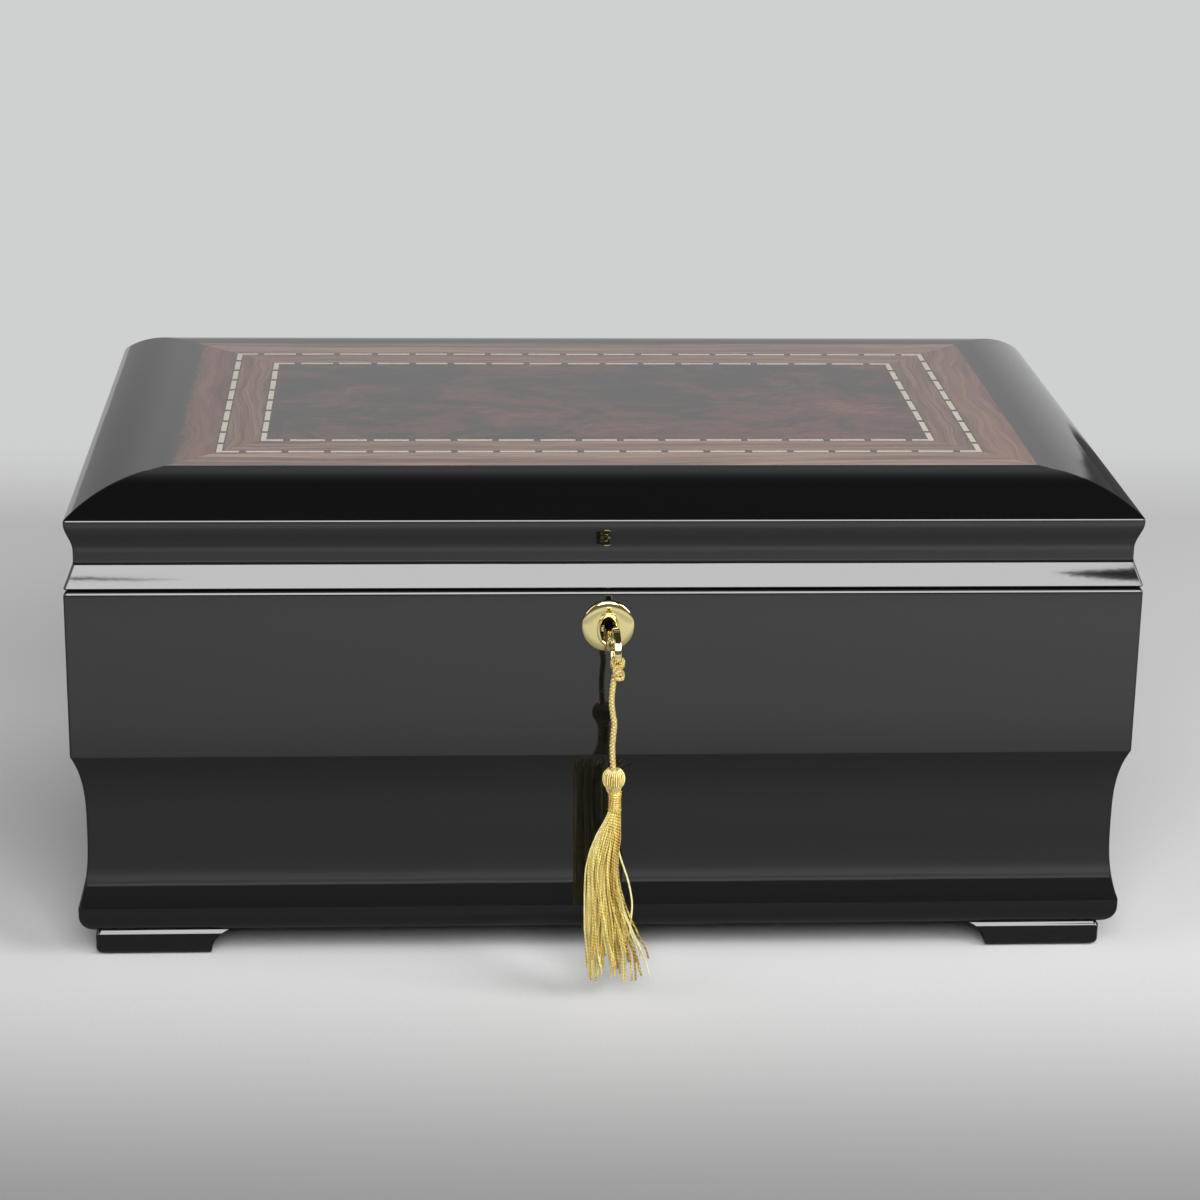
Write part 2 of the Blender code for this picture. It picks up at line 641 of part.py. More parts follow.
def make_lid():
    """Four moulded rails, the board over them, and the cedar inside."""
    rails = {side: mitred_bar("lid_rail_" + side, lid_rail_section(), side, LACQUER, LID_AXIS)
             for side in SIDES}
    board = stacked_rectangles("lid_top_board", board_levels(), LACQUER, LID_AXIS)
    inlay_x, inlay_y = HALF_X - INLAY_INSET, HALF_Y - INLAY_INSET
    cut(board, box("inlay_recess", (-inlay_x, -inlay_y, HEIGHT - VENEER_THICK - SEAT_GAP),
                   (inlay_x, inlay_y, HEIGHT + OVERCUT)))
    inner = LID_RAIL_THICK - LID_FLARE_PROUD + SEAT_GAP
    ceiling_x, ceiling_y = HALF_X - inner, HALF_Y - inner
    box("lid_ceiling", (-ceiling_x, -ceiling_y, CEILING_LOW), (ceiling_x, ceiling_y, RAIL_TOP),
        CEDAR, LID_AXIS)
    low, high = LINER_TOP + LID_LINER_STOP, CEILING_LOW - SEAT_GAP
    outline = [(inner, low), (inner + LID_LINER_THICK, low), (inner + LID_LINER_THICK, high),
               (inner, high)]
    for side in SIDES:
        mitred_bar("lid_liner_" + side, outline, side, CEDAR, LID_AXIS)
    return rails


def make_inlay():
    """Veneers let into the lid: two bands, two strings and the burl panel, from outside in."""
    level = HEIGHT - VENEER_THICK / 2
    inset = INLAY_INSET + SEAT_GAP
    for name, width, finish in (("outer_band", OUTER_BAND_WIDTH, BAND),
                                ("outer_stringing", STRING_WIDTH, STRINGING),
                                ("inner_band", INNER_BAND_WIDTH, BAND),
                                ("inner_stringing", STRING_WIDTH, STRINGING)):
        outer = rectangle(HALF_X - inset, HALF_Y - inset)
        inset += width - SEAT_GAP
        inner = rectangle(HALF_X - inset, HALF_Y - inset)
        inset += SEAT_GAP
        flat_outline(name, [outer, inner], VENEER_THICK, placed(0, 0, level), finish, LID_AXIS)
    box("burl_panel", (inset - HALF_X, inset - HALF_Y, HEIGHT - VENEER_THICK),
        (HALF_X - inset, HALF_Y - inset, HEIGHT), BURL, LID_AXIS)


def make_lock(walls, rails):
    """Box lock let into the front wall, its sliding bolt, and the link plate in the lid."""
    half_w, half_t = LOCK_WIDTH / 2, LOCK_THICK / 2
    under_plate = RIM - SELVEDGE_THICK
    low = under_plate - LOCK_TALL
    half_s, half_sw = SELVEDGE_LENGTH / 2, SELVEDGE_WIDTH / 2
    lock = box("lock_case", (-half_w, LOCK_Y - half_t, low), (half_w, LOCK_Y + half_t, RIM - OVERCUT),
               BRASS)
    join(lock, box("selvedge", (-half_s, LOCK_Y - half_sw, under_plate), (half_s, LOCK_Y + half_sw, RIM)))
    shell = LOCK_SHELL
    cut(lock, box("lock_inside", (shell - half_w, LOCK_Y + shell - half_t, low + shell),
                  (half_w - shell, LOCK_Y - shell + half_t, under_plate - shell / 2)))
    slot_x, slot_y = PRONG_WIDTH / 2 + RUN_GAP, PRONG_THICK / 2 + RUN_GAP
    cut(lock, box("prong_slot", (-slot_x, LOCK_Y - slot_y, under_plate - shell),
                  (slot_x, LOCK_Y + slot_y, RIM + OVERCUT)))
    keyhole_front = (0, LOCK_Y - half_t - OVERCUT, KEY_LEVEL)
    cut(lock, rod("lock_keyhole", keyhole_front, (0, LOCK_Y, KEY_LEVEL), KEYHOLE_RADIUS))
    mortise = box("lock_mortise", (-half_w - SEAT_GAP, LOCK_Y - half_t - SEAT_GAP, low - SEAT_GAP),
                  (half_w + SEAT_GAP, LOCK_Y + half_t + SEAT_GAP, RIM + OVERCUT))
    cut(walls["front"], mortise)
    cut(walls["front"], box("selvedge_seat", (-half_s - SEAT_GAP, LOCK_Y - half_sw - SEAT_GAP,
                                              under_plate - SEAT_GAP),
                            (half_s + SEAT_GAP, LOCK_Y + half_sw + SEAT_GAP, RIM + 2 * OVERCUT)))
    wall_hole = KEYHOLE_RADIUS + SEAT_GAP
    cut(walls["front"], rod("wall_keyhole", (0, -FACE_Y - OVERCUT, KEY_LEVEL), (0, LOCK_Y, KEY_LEVEL),
                            wall_hole))
    slot_half = KEYHOLE_SLOT_WIDTH / 2
    cut(walls["front"], box("wall_key_slot", (-slot_half, -FACE_Y - 2 * OVERCUT,
                                              KEY_LEVEL - KEYHOLE_SLOT_DROP),
                            (slot_half, LOCK_Y - half_t, KEY_LEVEL)))

    notch_low = RIM - PRONG_DROP + PRONG_TOE
    notch_high = notch_low + PRONG_NOTCH_TALL
    half_p = PRONG_WIDTH / 2
    hook = [(-half_p, LID_UNDER + SELVEDGE_THICK / 2), (-half_p, RIM - PRONG_DROP),
            (half_p, RIM - PRONG_DROP), (half_p, notch_low), (half_p - PRONG_NOTCH_DEEP, notch_low),
            (half_p - PRONG_NOTCH_DEEP, notch_high), (half_p, notch_high),
            (half_p, LID_UNDER + SELVEDGE_THICK / 2)]
    plate = box("link_plate", (-half_s, LOCK_Y - half_sw, LID_UNDER),
                (half_s, LOCK_Y + half_sw, LID_UNDER + SELVEDGE_THICK), BRASS, LID_AXIS)
    join(plate, flat_outline("link_hook", [hook], PRONG_THICK, placed(0, LOCK_Y, 0, FRONT_VIEW),
                             parent=LID_AXIS))
    cut(rails["front"], box("link_seat", (-half_s - SEAT_GAP, LOCK_Y - half_sw - SEAT_GAP,
                                          LID_UNDER - OVERCUT),
                            (half_s + SEAT_GAP, LOCK_Y + half_sw + SEAT_GAP,
                             LID_UNDER + SELVEDGE_THICK + SEAT_GAP), parent=LID_AXIS))

    middle = (notch_low + notch_high) / 2
    start = half_p + BOLT_CLEAR
    box("lock_bolt", (start, LOCK_Y - BOLT_THICK / 2, middle - BOLT_TALL / 2),
        (start + BOLT_LENGTH, LOCK_Y + BOLT_THICK / 2, middle + BOLT_TALL / 2), STEEL)


def keyhole_cutter(name, front, back):
    """Round hole with the slot for the bit below it."""
    hole = rod(name, (0, front, KEY_LEVEL), (0, back, KEY_LEVEL), KEYHOLE_RADIUS)
    half = KEYHOLE_SLOT_WIDTH / 2
    slot = box(name + "_slot", (-half, min(front, back), KEY_LEVEL - KEYHOLE_SLOT_DROP),
               (half, max(front, back), KEY_LEVEL))
    return hole, slot


def make_escutcheon():
    """Round domed plate with a raised oval lip round the keyhole."""
    back = -FACE_Y - SEAT_GAP
    profile = [(0, ESCUTCHEON_FIELD), (ESCUTCHEON_FIELD_RADIUS, ESCUTCHEON_FIELD)]
    profile += [(ESCUTCHEON_CROWN_RADIUS, ESCUTCHEON_CROWN)]
    shoulder = ESCUTCHEON_RADIUS - ESCUTCHEON_CROWN_RADIUS
    profile += arc((ESCUTCHEON_CROWN_RADIUS, ESCUTCHEON_EDGE),
                   (shoulder, ESCUTCHEON_CROWN - ESCUTCHEON_EDGE), math.pi / 2, 0, 4)[1:]
    profile += [(ESCUTCHEON_RADIUS, 0), (0, 0)]
    plate = turned("escutcheon", profile, lathe_turn((0, back, KEY_LEVEL), (0, -1, 0)), BRASS)
    oval = arc((0, KEY_LEVEL - OVAL_DROP), (OVAL_HALF_WIDTH, OVAL_HALF_TALL), 0, 2 * math.pi,
               ROUND_STEPS)[:-1]
    thick = ESCUTCHEON_FIELD + OVAL_PROUD - ESCUTCHEON_EDGE
    middle = back - ESCUTCHEON_EDGE - thick / 2
    join(plate, flat_outline("oval_lip", [oval], thick, placed(0, middle, 0, FRONT_VIEW)))
    front = back - ESCUTCHEON_FIELD - OVAL_PROUD - OVERCUT
    for cutter in keyhole_cutter("plate_keyhole", front, back + OVERCUT):
        cut(plate, cutter)


def make_key():
    """Key in its lock: turned stem with a collar, oval ring bow on edge, bit pointing down."""
    bow_back = KEY_TIP_Y + 2 * BOW_HALF_LENGTH - BOW_BAR
    length = KEY_END_Y - bow_back
    profile = [(0, length), (STEM_RADIUS, length), (STEM_RADIUS, 2 * COLLAR_LENGTH)]
    profile += arc((STEM_RADIUS, COLLAR_LENGTH), (COLLAR_RADIUS - STEM_RADIUS, COLLAR_LENGTH),
                   math.pi / 2, -math.pi / 2, 6)[1:-1]
    profile += [(STEM_RADIUS, 0), (0, 0)]
    key = turned("key", profile, lathe_turn((0, bow_back, KEY_LEVEL), (0, 1, 0)), BRASS, KEY_AXIS,
                 SMALL_STEPS)
    curve = bpy.data.curves.new("bow", 'CURVE')
    curve.dimensions = '3D'
    curve.bevel_depth = BOW_BAR
    curve.bevel_resolution = 2
    spline = curve.splines.new('POLY')
    ring = arc((KEY_TIP_Y + BOW_HALF_LENGTH, KEY_LEVEL),
               (BOW_HALF_LENGTH - BOW_BAR, BOW_HALF_TALL - BOW_BAR), 0, 2 * math.pi, 24)[:-1]
    spline.points.add(len(ring) - 1)
    for point, (y, z) in zip(spline.points, ring):
        point.co = (0, y, z, 1)
    spline.use_cyclic_u = True
    drawn = bpy.data.objects.new("bow", curve)
    PARTS.objects.link(drawn)
    join(key, finish_mesh("bow", evaluated_mesh(drawn, "bow"), None, KEY_AXIS))
    half = BIT_THICK / 2
    join(key, box("bit", (-half, KEY_END_Y - BIT_LENGTH, KEY_LEVEL - BIT_REACH),
                  (half, KEY_END_Y - SEAT_GAP, KEY_LEVEL), parent=KEY_AXIS))


def leaf_outline(sign):
    """Plan of a hinge leaf: one leg along the side of the box and one along its back."""
    outer_x = FACE_X - LEAF_SIDE_INSET
    inner_x = outer_x - LEAF_BACK_LEG
    front_y = FACE_Y - LEAF_SIDE_LEG
    leg_x, leg_y = outer_x - LEAF_SIDE_WIDTH, FACE_Y - LEAF_BACK_WIDTH
    edge = FACE_Y - SEAT_GAP
    points = [(outer_x, edge), (outer_x, front_y), (leg_x, front_y), (leg_x, leg_y),
              (inner_x, leg_y), (inner_x, edge)]
    return [(sign * x, y) for x, y in points]


def make_hinge(side, sign, walls, rails):
    """One quadrant hinge: two leaves, pin, and the curved stay that slides in both leaves."""
    axis = Vector((0, HINGE_Y, HINGE_Z))
    outer = FACE_X - KNUCKLE_SIDE_INSET
    third = KNUCKLE_LENGTH / 3
    ends = [outer - KNUCKLE_LENGTH + third * k for k in range(4)]
    gap = SEAT_GAP / 2

    def along(start, end):
        return axis + Vector((sign * start, 0, 0)), axis + Vector((sign * end, 0, 0))

    slot_x = FACE_X - LEAF_SIDE_INSET - LEAF_SIDE_WIDTH / 2
    slot_half = STAY_THICK / 2 + RUN_GAP
    arm_half = STAY_WIDTH / 2
    slot_lows = (sign * slot_x - slot_half, HINGE_Y - STAY_RADIUS - arm_half - POCKET_CLEAR)
    slot_highs = (sign * slot_x + slot_half, HINGE_Y - STAY_RADIUS + arm_half + POCKET_CLEAR)
    plates = (("case_leaf_", RIM - LEAF_THICK, None, ((ends[0], ends[1] - gap), (ends[2] + gap, ends[3]))),
              ("lid_leaf_", LID_UNDER, LID_AXIS, ((ends[1] + gap, ends[2] - gap),)))
    for name, low, parent, knuckles in plates:
        leaf = flat_outline(name + side, [leaf_outline(sign)], LEAF_THICK,
                            placed(0, 0, low + LEAF_THICK / 2), BRASS, parent)
        own = {round(a / third) for a, _ in knuckles}
        for k in range(3):
            if round(ends[k] / third) not in own:
                start, end = along(ends[k] - gap, ends[k + 1] + gap)
                cut(leaf, rod(f"{name}{side}_clear_{k}", start, end, KNUCKLE_RADIUS + SEAT_GAP,
                              parent=parent, steps=ROUND_STEPS))
        for k, (start, end) in enumerate(knuckles):
            start, end = along(start, end)
            join(leaf, rod(f"{name}{side}_knuckle_{k}", start, end, KNUCKLE_RADIUS, parent=parent,
                           steps=24))
        start, end = along(ends[0] - OVERCUT, ends[3] + OVERCUT)
        cut(leaf, rod(f"{name}{side}_bore", start, end, KNUCKLE_BORE, parent=parent))
        cut(leaf, box(f"{name}{side}_slot", (*slot_lows, low - OVERCUT),
                      (*slot_highs, low + LEAF_THICK + OVERCUT), parent=parent))
    start, end = along(ends[0], ends[3])
    rod("hinge_pin_" + side, start, end, PIN_RADIUS, STEEL)

    outline = arc((0, 0), STAY_RADIUS + arm_half, math.pi - STAY_HALF_ANGLE, math.pi + STAY_HALF_ANGLE,
                  STAY_STEPS)
    outline += reversed(arc((0, 0), STAY_RADIUS - arm_half, math.pi - STAY_HALF_ANGLE,
                            math.pi + STAY_HALF_ANGLE, STAY_STEPS))
    place = placed(sign * slot_x, HINGE_Y, HINGE_Z, SIDE_VIEW)
    stay_axis = empty_at("stay_axis_" + side, axis, BOX)
    stay = flat_outline("hinge_stay_" + side, [outline], STAY_THICK, place, BRASS, stay_axis)
    for k, turn in enumerate((-STAY_HALF_ANGLE, STAY_HALF_ANGLE)):
        y = HINGE_Y - STAY_RADIUS * math.cos(turn)
        z = HINGE_Z + STAY_RADIUS * math.sin(turn)
        half = STAY_THICK / 2
        join(stay, rod(f"stay_head_{side}_{k}", (sign * slot_x - half, y, z), (sign * slot_x + half, y, z),
                       STAY_HEAD_RADIUS, parent=stay_axis))

    head_y = HINGE_Y - STAY_RADIUS * math.cos(STAY_HALF_ANGLE) + STAY_HEAD_RADIUS + POCKET_CLEAR
    front_y = HINGE_Y - STAY_RADIUS - STAY_HEAD_RADIUS - POCKET_CLEAR
    for direction, base, solids, parent in ((-1, RIM, walls, None), (1, LID_UNDER, rails, LID_AXIS)):
        word = f"{'case' if direction < 0 else 'lid'}_{side}"
        levels = sorted((base - direction * OVERCUT, base + direction * POCKET_DEPTH))
        cut(solids[side], box("stay_pocket_" + word, (slot_lows[0], front_y, levels[0]),
                              (slot_highs[0], head_y, levels[1]), parent=parent))
        outer_x = FACE_X - LEAF_SIDE_INSET + SEAT_GAP
        inner_x = outer_x - LEAF_BACK_LEG - 2 * SEAT_GAP
        seat = sorted((base - direction * 2 * OVERCUT, base + direction * (LEAF_THICK + SEAT_GAP)))
        xs = sorted((sign * outer_x, sign * inner_x))
        leg_xs = sorted((sign * outer_x, sign * (outer_x - LEAF_SIDE_WIDTH - 2 * SEAT_GAP)))
        back_seat = box("leaf_back_seat_" + word,
                        (xs[0], FACE_Y - LEAF_BACK_WIDTH - SEAT_GAP, seat[0]),
                        (xs[1], FACE_Y + 3 * OVERCUT, seat[1]), parent=parent)
        side_seat = box("leaf_side_seat_" + word,
                        (leg_xs[0], FACE_Y - LEAF_SIDE_LEG - SEAT_GAP, seat[0] - OVERCUT * (direction > 0)),
                        (leg_xs[1], FACE_Y + 4 * OVERCUT, seat[1] + OVERCUT * (direction < 0)), parent=parent)
        start, end = along(ends[0] - RUN_GAP, ends[3] + RUN_GAP)
        barrel = rod("knuckle_seat_" + word, start, end, KNUCKLE_RADIUS + RUN_GAP, parent=parent,
                     steps=ROUND_STEPS)
        for target in (solids["back"], solids[side]):
            cut(target, back_seat)
            cut(target, side_seat)
        cut(solids["back"], barrel)


def make_hygrometer():
    """Round gauge let hang under the lid: a turned cup with its bezel, dial and needle."""
    top = CEILING_LOW - SEAT_GAP
    inner = GAUGE_RADIUS - GAUGE_WALL
    mouth = GAUGE_RADIUS - GAUGE_BEZEL
    dial_low = GAUGE_BEZEL_THICK + DIAL_DROP
    shelf = dial_low + DIAL_THICK + SEAT_GAP
    profile = [(0, GAUGE_DEEP), (GAUGE_RADIUS, GAUGE_DEEP)]
    profile += [(GAUGE_RADIUS, GAUGE_BEZEL_THICK)]
    profile += [(GAUGE_RADIUS - GAUGE_BEZEL_THICK, 0), (mouth, 0), (mouth, GAUGE_BEZEL_THICK / 2)]
    profile += [(inner, GAUGE_BEZEL_THICK), (inner, shelf), (0, shelf)]
    place = lathe_turn((GAUGE_X, 0, top - GAUGE_DEEP), (0, 0, 1))
    turned("hygrometer_case", profile, place, BRASS, LID_AXIS)
    level = top - GAUGE_DEEP + dial_low
    rod("hygrometer_dial", (GAUGE_X, 0, level), (GAUGE_X, 0, level + DIAL_THICK), inner - SEAT_GAP,
        DIAL_WHITE, LID_AXIS, ROUND_STEPS)
    half = NEEDLE_WIDTH / 2
    needle_top = level - SEAT_GAP
    pointer = [(-half, -NEEDLE_TAIL), (half, -NEEDLE_TAIL), (half, 0), (half / 4, NEEDLE_LENGTH),
               (-half / 4, NEEDLE_LENGTH), (-half, 0)]
    place = placed(GAUGE_X, 0, needle_top - NEEDLE_THICK / 2) @ Matrix.Rotation(NEEDLE_TILT, 4, 'Z')
    needle = flat_outline("hygrometer_needle", [pointer], NEEDLE_THICK, place, BLACK_PLASTIC, NEEDLE_AXIS)
    join(needle, rod("needle_hub", (GAUGE_X, 0, needle_top - 2 * NEEDLE_THICK), (GAUGE_X, 0, needle_top),
                     NEEDLE_HUB_RADIUS, parent=NEEDLE_AXIS))


def rounded_rectangle(half_x, half_y, corner, steps=4):
    """Outline of a rectangle with round corners."""
    points = []
    for quarter, (sx, sy) in enumerate(((1, 1), (-1, 1), (-1, -1), (1, -1))):
        start = quarter * math.pi / 2
        points += arc((sx * (half_x - corner), sy * (half_y - corner)), corner, start,
                      start + math.pi / 2, steps)
    return points


def make_humidifier():
    """Shallow plastic case for the damp foam, closed by a slotted grille."""
    top = CEILING_LOW - SEAT_GAP
    low = top - HUMIDIFIER_DEEP
    half_x, half_y = HUMIDIFIER_WIDTH / 2, HUMIDIFIER_DEPTH / 2
    place = placed(HUMIDIFIER_X, 0, (top + low) / 2)
    case = flat_outline("humidifier_case", [rounded_rectangle(half_x, half_y, HUMIDIFIER_CORNER)],
                        HUMIDIFIER_DEEP, place, BLACK_PLASTIC, LID_AXIS)
    wall = HUMIDIFIER_WALL
    inside = rounded_rectangle(half_x - wall, half_y - wall, HUMIDIFIER_CORNER - wall / 2)
    place = placed(HUMIDIFIER_X, 0, (top + low) / 2 - wall)
    cut(case, flat_outline("humidifier_inside", [inside], HUMIDIFIER_DEEP, place, parent=LID_AXIS))
    gap = SEAT_GAP
    plate = [rounded_rectangle(half_x - wall - gap, half_y - wall - gap, HUMIDIFIER_CORNER - wall / 2)]
    pitch = (HUMIDIFIER_WIDTH - 2 * wall) / (GRILLE_SLOT_COUNT + 1)
    for k in range(GRILLE_SLOT_COUNT):
        x = pitch * (k - (GRILLE_SLOT_COUNT - 1) / 2)
        slot = rounded_rectangle(GRILLE_SLOT_WIDTH / 2, GRILLE_SLOT_LENGTH / 2, GRILLE_SLOT_WIDTH / 2, 3)
        plate.append([(x + u, v) for u, v in slot])
    place = placed(HUMIDIFIER_X, 0, low + GRILLE_THICK / 2)
    flat_outline("humidifier_grille", plate, GRILLE_THICK, place, BLACK_PLASTIC, LID_AXIS)


def make_tassel():
    """Knot at the key's bow, its cord, and the tassel's head, neck and skirt."""
    down = lathe_turn((0, TASSEL_Y, 0), (0, 0, 1))
    half = KNOT_TALL / 2
    turned("tassel_knot", arc((0, KNOT_LOW + half), (KNOT_RADIUS, half), math.pi / 2, -math.pi / 2, 8),
           down, GOLD_THREAD, KNOT_AXIS, SMALL_STEPS)

    curve = bpy.data.curves.new("tassel_cord", 'CURVE')
    curve.dimensions = '3D'
    curve.bevel_depth = TASSEL_CORD_RADIUS
    curve.bevel_resolution = 2
    curve.use_fill_caps = True
    spline = curve.splines.new('POLY')
    levels = between(KNOT_LOW - SEAT_GAP, TASSEL_HEAD_TOP + SEAT_GAP, 6)
    spline.points.add(len(levels) - 1)
    for point, level in zip(spline.points, levels):
        point.co = (0, TASSEL_Y, level, 1)
    drawn = bpy.data.objects.new("tassel_cord", curve)
    PARTS.objects.link(drawn)
    finish_mesh("tassel_cord", evaluated_mesh(drawn, "tassel_cord"), GOLD_THREAD, SWING_AXIS)

    head_low = TASSEL_HEAD_TOP - TASSEL_HEAD_TALL
    neck_low = head_low - TASSEL_NECK_TALL
    half = TASSEL_HEAD_TALL / 2
    head = arc((0, TASSEL_HEAD_TOP - half), (TASSEL_HEAD_RADIUS, half), math.pi / 2, -math.pi / 3, 9)
    head += [(TASSEL_NECK_RADIUS, head_low), (TASSEL_NECK_RADIUS, neck_low), (0, neck_low)]
    turned("tassel_head", head, down, GOLD_THREAD, SWING_AXIS, 20)
    top = neck_low - SEAT_GAP
    tall = top - TASSEL_SKIRT_BOTTOM
    spread = TASSEL_SKIRT_RADIUS - TASSEL_SKIRT_TOP_RADIUS
    flare = TASSEL_SKIRT_END_RADIUS - TASSEL_SKIRT_RADIUS
    skirt = [(0, top)]
    for k in range(9):
        share = k / 8
        radius = TASSEL_SKIRT_TOP_RADIUS + spread * math.sqrt(share) + flare * share ** 4
        skirt.append((radius, top - tall * share))
    skirt.append((0, TASSEL_SKIRT_BOTTOM))
    turned("tassel_skirt", skirt, down, GOLD_THREAD, SWING_AXIS, 20)


WALLS = make_case()
RAILS = make_lid()
make_feet()
make_lining()
make_tray()
make_inlay()
make_lock(WALLS, RAILS)
make_escutcheon()
make_key()
make_hinge("left", -1, WALLS, RAILS)
make_hinge("right", 1, WALLS, RAILS)
make_hygrometer()
make_humidifier()
make_tassel()
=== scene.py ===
import math
import random

import bmesh
import bpy
from mathutils import Matrix, Vector


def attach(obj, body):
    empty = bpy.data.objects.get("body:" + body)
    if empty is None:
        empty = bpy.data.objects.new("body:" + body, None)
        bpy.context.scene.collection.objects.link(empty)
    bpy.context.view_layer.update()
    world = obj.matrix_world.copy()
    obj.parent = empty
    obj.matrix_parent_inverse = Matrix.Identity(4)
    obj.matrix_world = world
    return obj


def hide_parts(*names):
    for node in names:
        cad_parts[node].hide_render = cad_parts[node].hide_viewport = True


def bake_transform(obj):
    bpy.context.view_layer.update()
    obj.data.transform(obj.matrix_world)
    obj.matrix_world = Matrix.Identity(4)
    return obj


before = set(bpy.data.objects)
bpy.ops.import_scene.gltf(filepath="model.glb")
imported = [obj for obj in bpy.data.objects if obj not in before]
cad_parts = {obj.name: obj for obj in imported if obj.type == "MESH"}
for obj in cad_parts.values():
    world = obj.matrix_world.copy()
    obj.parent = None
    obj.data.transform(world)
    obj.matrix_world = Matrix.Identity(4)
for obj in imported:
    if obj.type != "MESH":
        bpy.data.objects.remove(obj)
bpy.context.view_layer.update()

# Sizes of the box, in metres; the box stands a little behind the origin
BOX_Y = 0.0165
HALF_X = 0.2275
HALF_Y = 0.1481
RIM = 0.1703
LID_LOW = 0.1706
LID_TOP = 0.2133
FACE_PROUD = 0.0009
FACE_Y = HALF_Y + FACE_PROUD
FACE_X = HALF_X + FACE_PROUD
WALL_IN = 0.0211
CORNER = 0.0011
KEY_LEVEL = 0.1543
KEY_TIP_Y = -0.1860
KEY_LEAN = math.radians(2.4)
KEY_SAG = math.radians(2.2)
TASSEL_Y = -0.1886
LOCK_Y = -0.1360
HINGE_Y = 0.1506
HINGE_Z = 0.17045
STAY_RADIUS = 0.02804
CEILING = 0.1933
INLAY_EDGE = 0.0396
GAUGE_X = 0.1150
VENEER = 0.0012
HOME = Vector((0, BOX_Y, 0))

# Looks shared by several pieces
LACQUER_IOR = 1.76
LACQUER_ROUGHNESS = 0.035
BACKDROP = (0.625, 0.63, 0.63)


def put(name, data):
    """A new object in the scene."""
    made = bpy.data.objects.new(name, data)
    bpy.context.scene.collection.objects.link(made)
    return made


# ---------------- camera

def make_camera():
    """The camera of the photograph: a long lens, slightly above and turned a little."""
    yaw, pitch, roll = math.radians(3.524), math.radians(18.565), math.radians(0.928)
    forward = Vector((math.sin(yaw) * math.cos(pitch), math.cos(yaw) * math.cos(pitch),
                      -math.sin(pitch)))
    level = Vector((math.cos(yaw), -math.sin(yaw), 0))
    upward = level.cross(forward)
    right = level * math.cos(roll) + upward * math.sin(roll)
    top = upward * math.cos(roll) - level * math.sin(roll)
    turn = Matrix((right, top, -forward)).transposed().to_4x4()
    lens = bpy.data.cameras.new("camera")
    lens.lens, lens.sensor_width = 93.10, 36
    lens.clip_start, lens.clip_end = 0.05, 60
    camera = put("camera", lens)
    camera.matrix_world = Matrix.Translation((-0.07993, -1.37197, 0.58290)) @ turn
    bpy.context.scene.camera = camera


make_camera()


# ---------------- node trees

def add_node(tree, kind, settings=None, inputs=None, output=0):
    """Add a node: settings first, then the values or links of its sockets, named or numbered."""
    node = tree.nodes.new(kind)
    for name, value in (settings or {}).items():
        if name == "stops":
            ramp = node.color_ramp
            while len(ramp.elements) < len(value):
                ramp.elements.new(0.5)
            for stop, (place, colour) in zip(ramp.elements, value):
                stop.position = place
                stop.color = (*(colour if isinstance(colour, tuple) else (colour,) * 3), 1)
        else:
            setattr(node, name, value)
    for name, value in (inputs or {}).items():
        socket = node.inputs[name]
        if isinstance(value, Value):
            tree.links.new(value.socket, socket)
        elif isinstance(value, tuple) and len(value) == 3 and socket.type == 'RGBA':
            socket.default_value = (*value, 1)
        else:
            socket.default_value = value
    return Value(tree, node.outputs[output]) if node.outputs else None


class Value:
    """A node's output that maths can be written on."""

    def __init__(self, tree, socket):
        self.tree, self.socket = tree, socket

    def maths(self, operation, *terms):
        return add_node(self.tree, 'ShaderNodeMath', {"operation": operation},
                        dict(enumerate(terms)))

    def __add__(self, other):
        return self.maths('ADD', self, other)

    def __sub__(self, other):
        return self.maths('SUBTRACT', self, other)

    def __rsub__(self, other):
        return self.maths('SUBTRACT', other, self)

    def __mul__(self, other):
        return self.maths('MULTIPLY', self, other)

    def __pow__(self, other):
        return self.maths('POWER', self, other)

    def __neg__(self):
        return self.maths('MULTIPLY', self, -1.0)

    __radd__ = __add__
    __rmul__ = __mul__

    def most(self, other):
        return self.maths('MAXIMUM', self, other)

    def least(self, other):
        return self.maths('MINIMUM', self, other)

    def size(self):
        return self.maths('ABSOLUTE', self)

    def wave(self):
        return self.maths('SINE', self)

    def step(self, low, high):
        """0 below low, 1 above high, smooth between."""
        return add_node(self.tree, 'ShaderNodeMapRange', {"interpolation_type": 'SMOOTHSTEP'},
                        {0: self, 1: low, 2: high, 3: 0.0, 4: 1.0})

    def other(self, name):
        """Another output of the same node."""
        return Value(self.tree, self.socket.node.outputs[name])


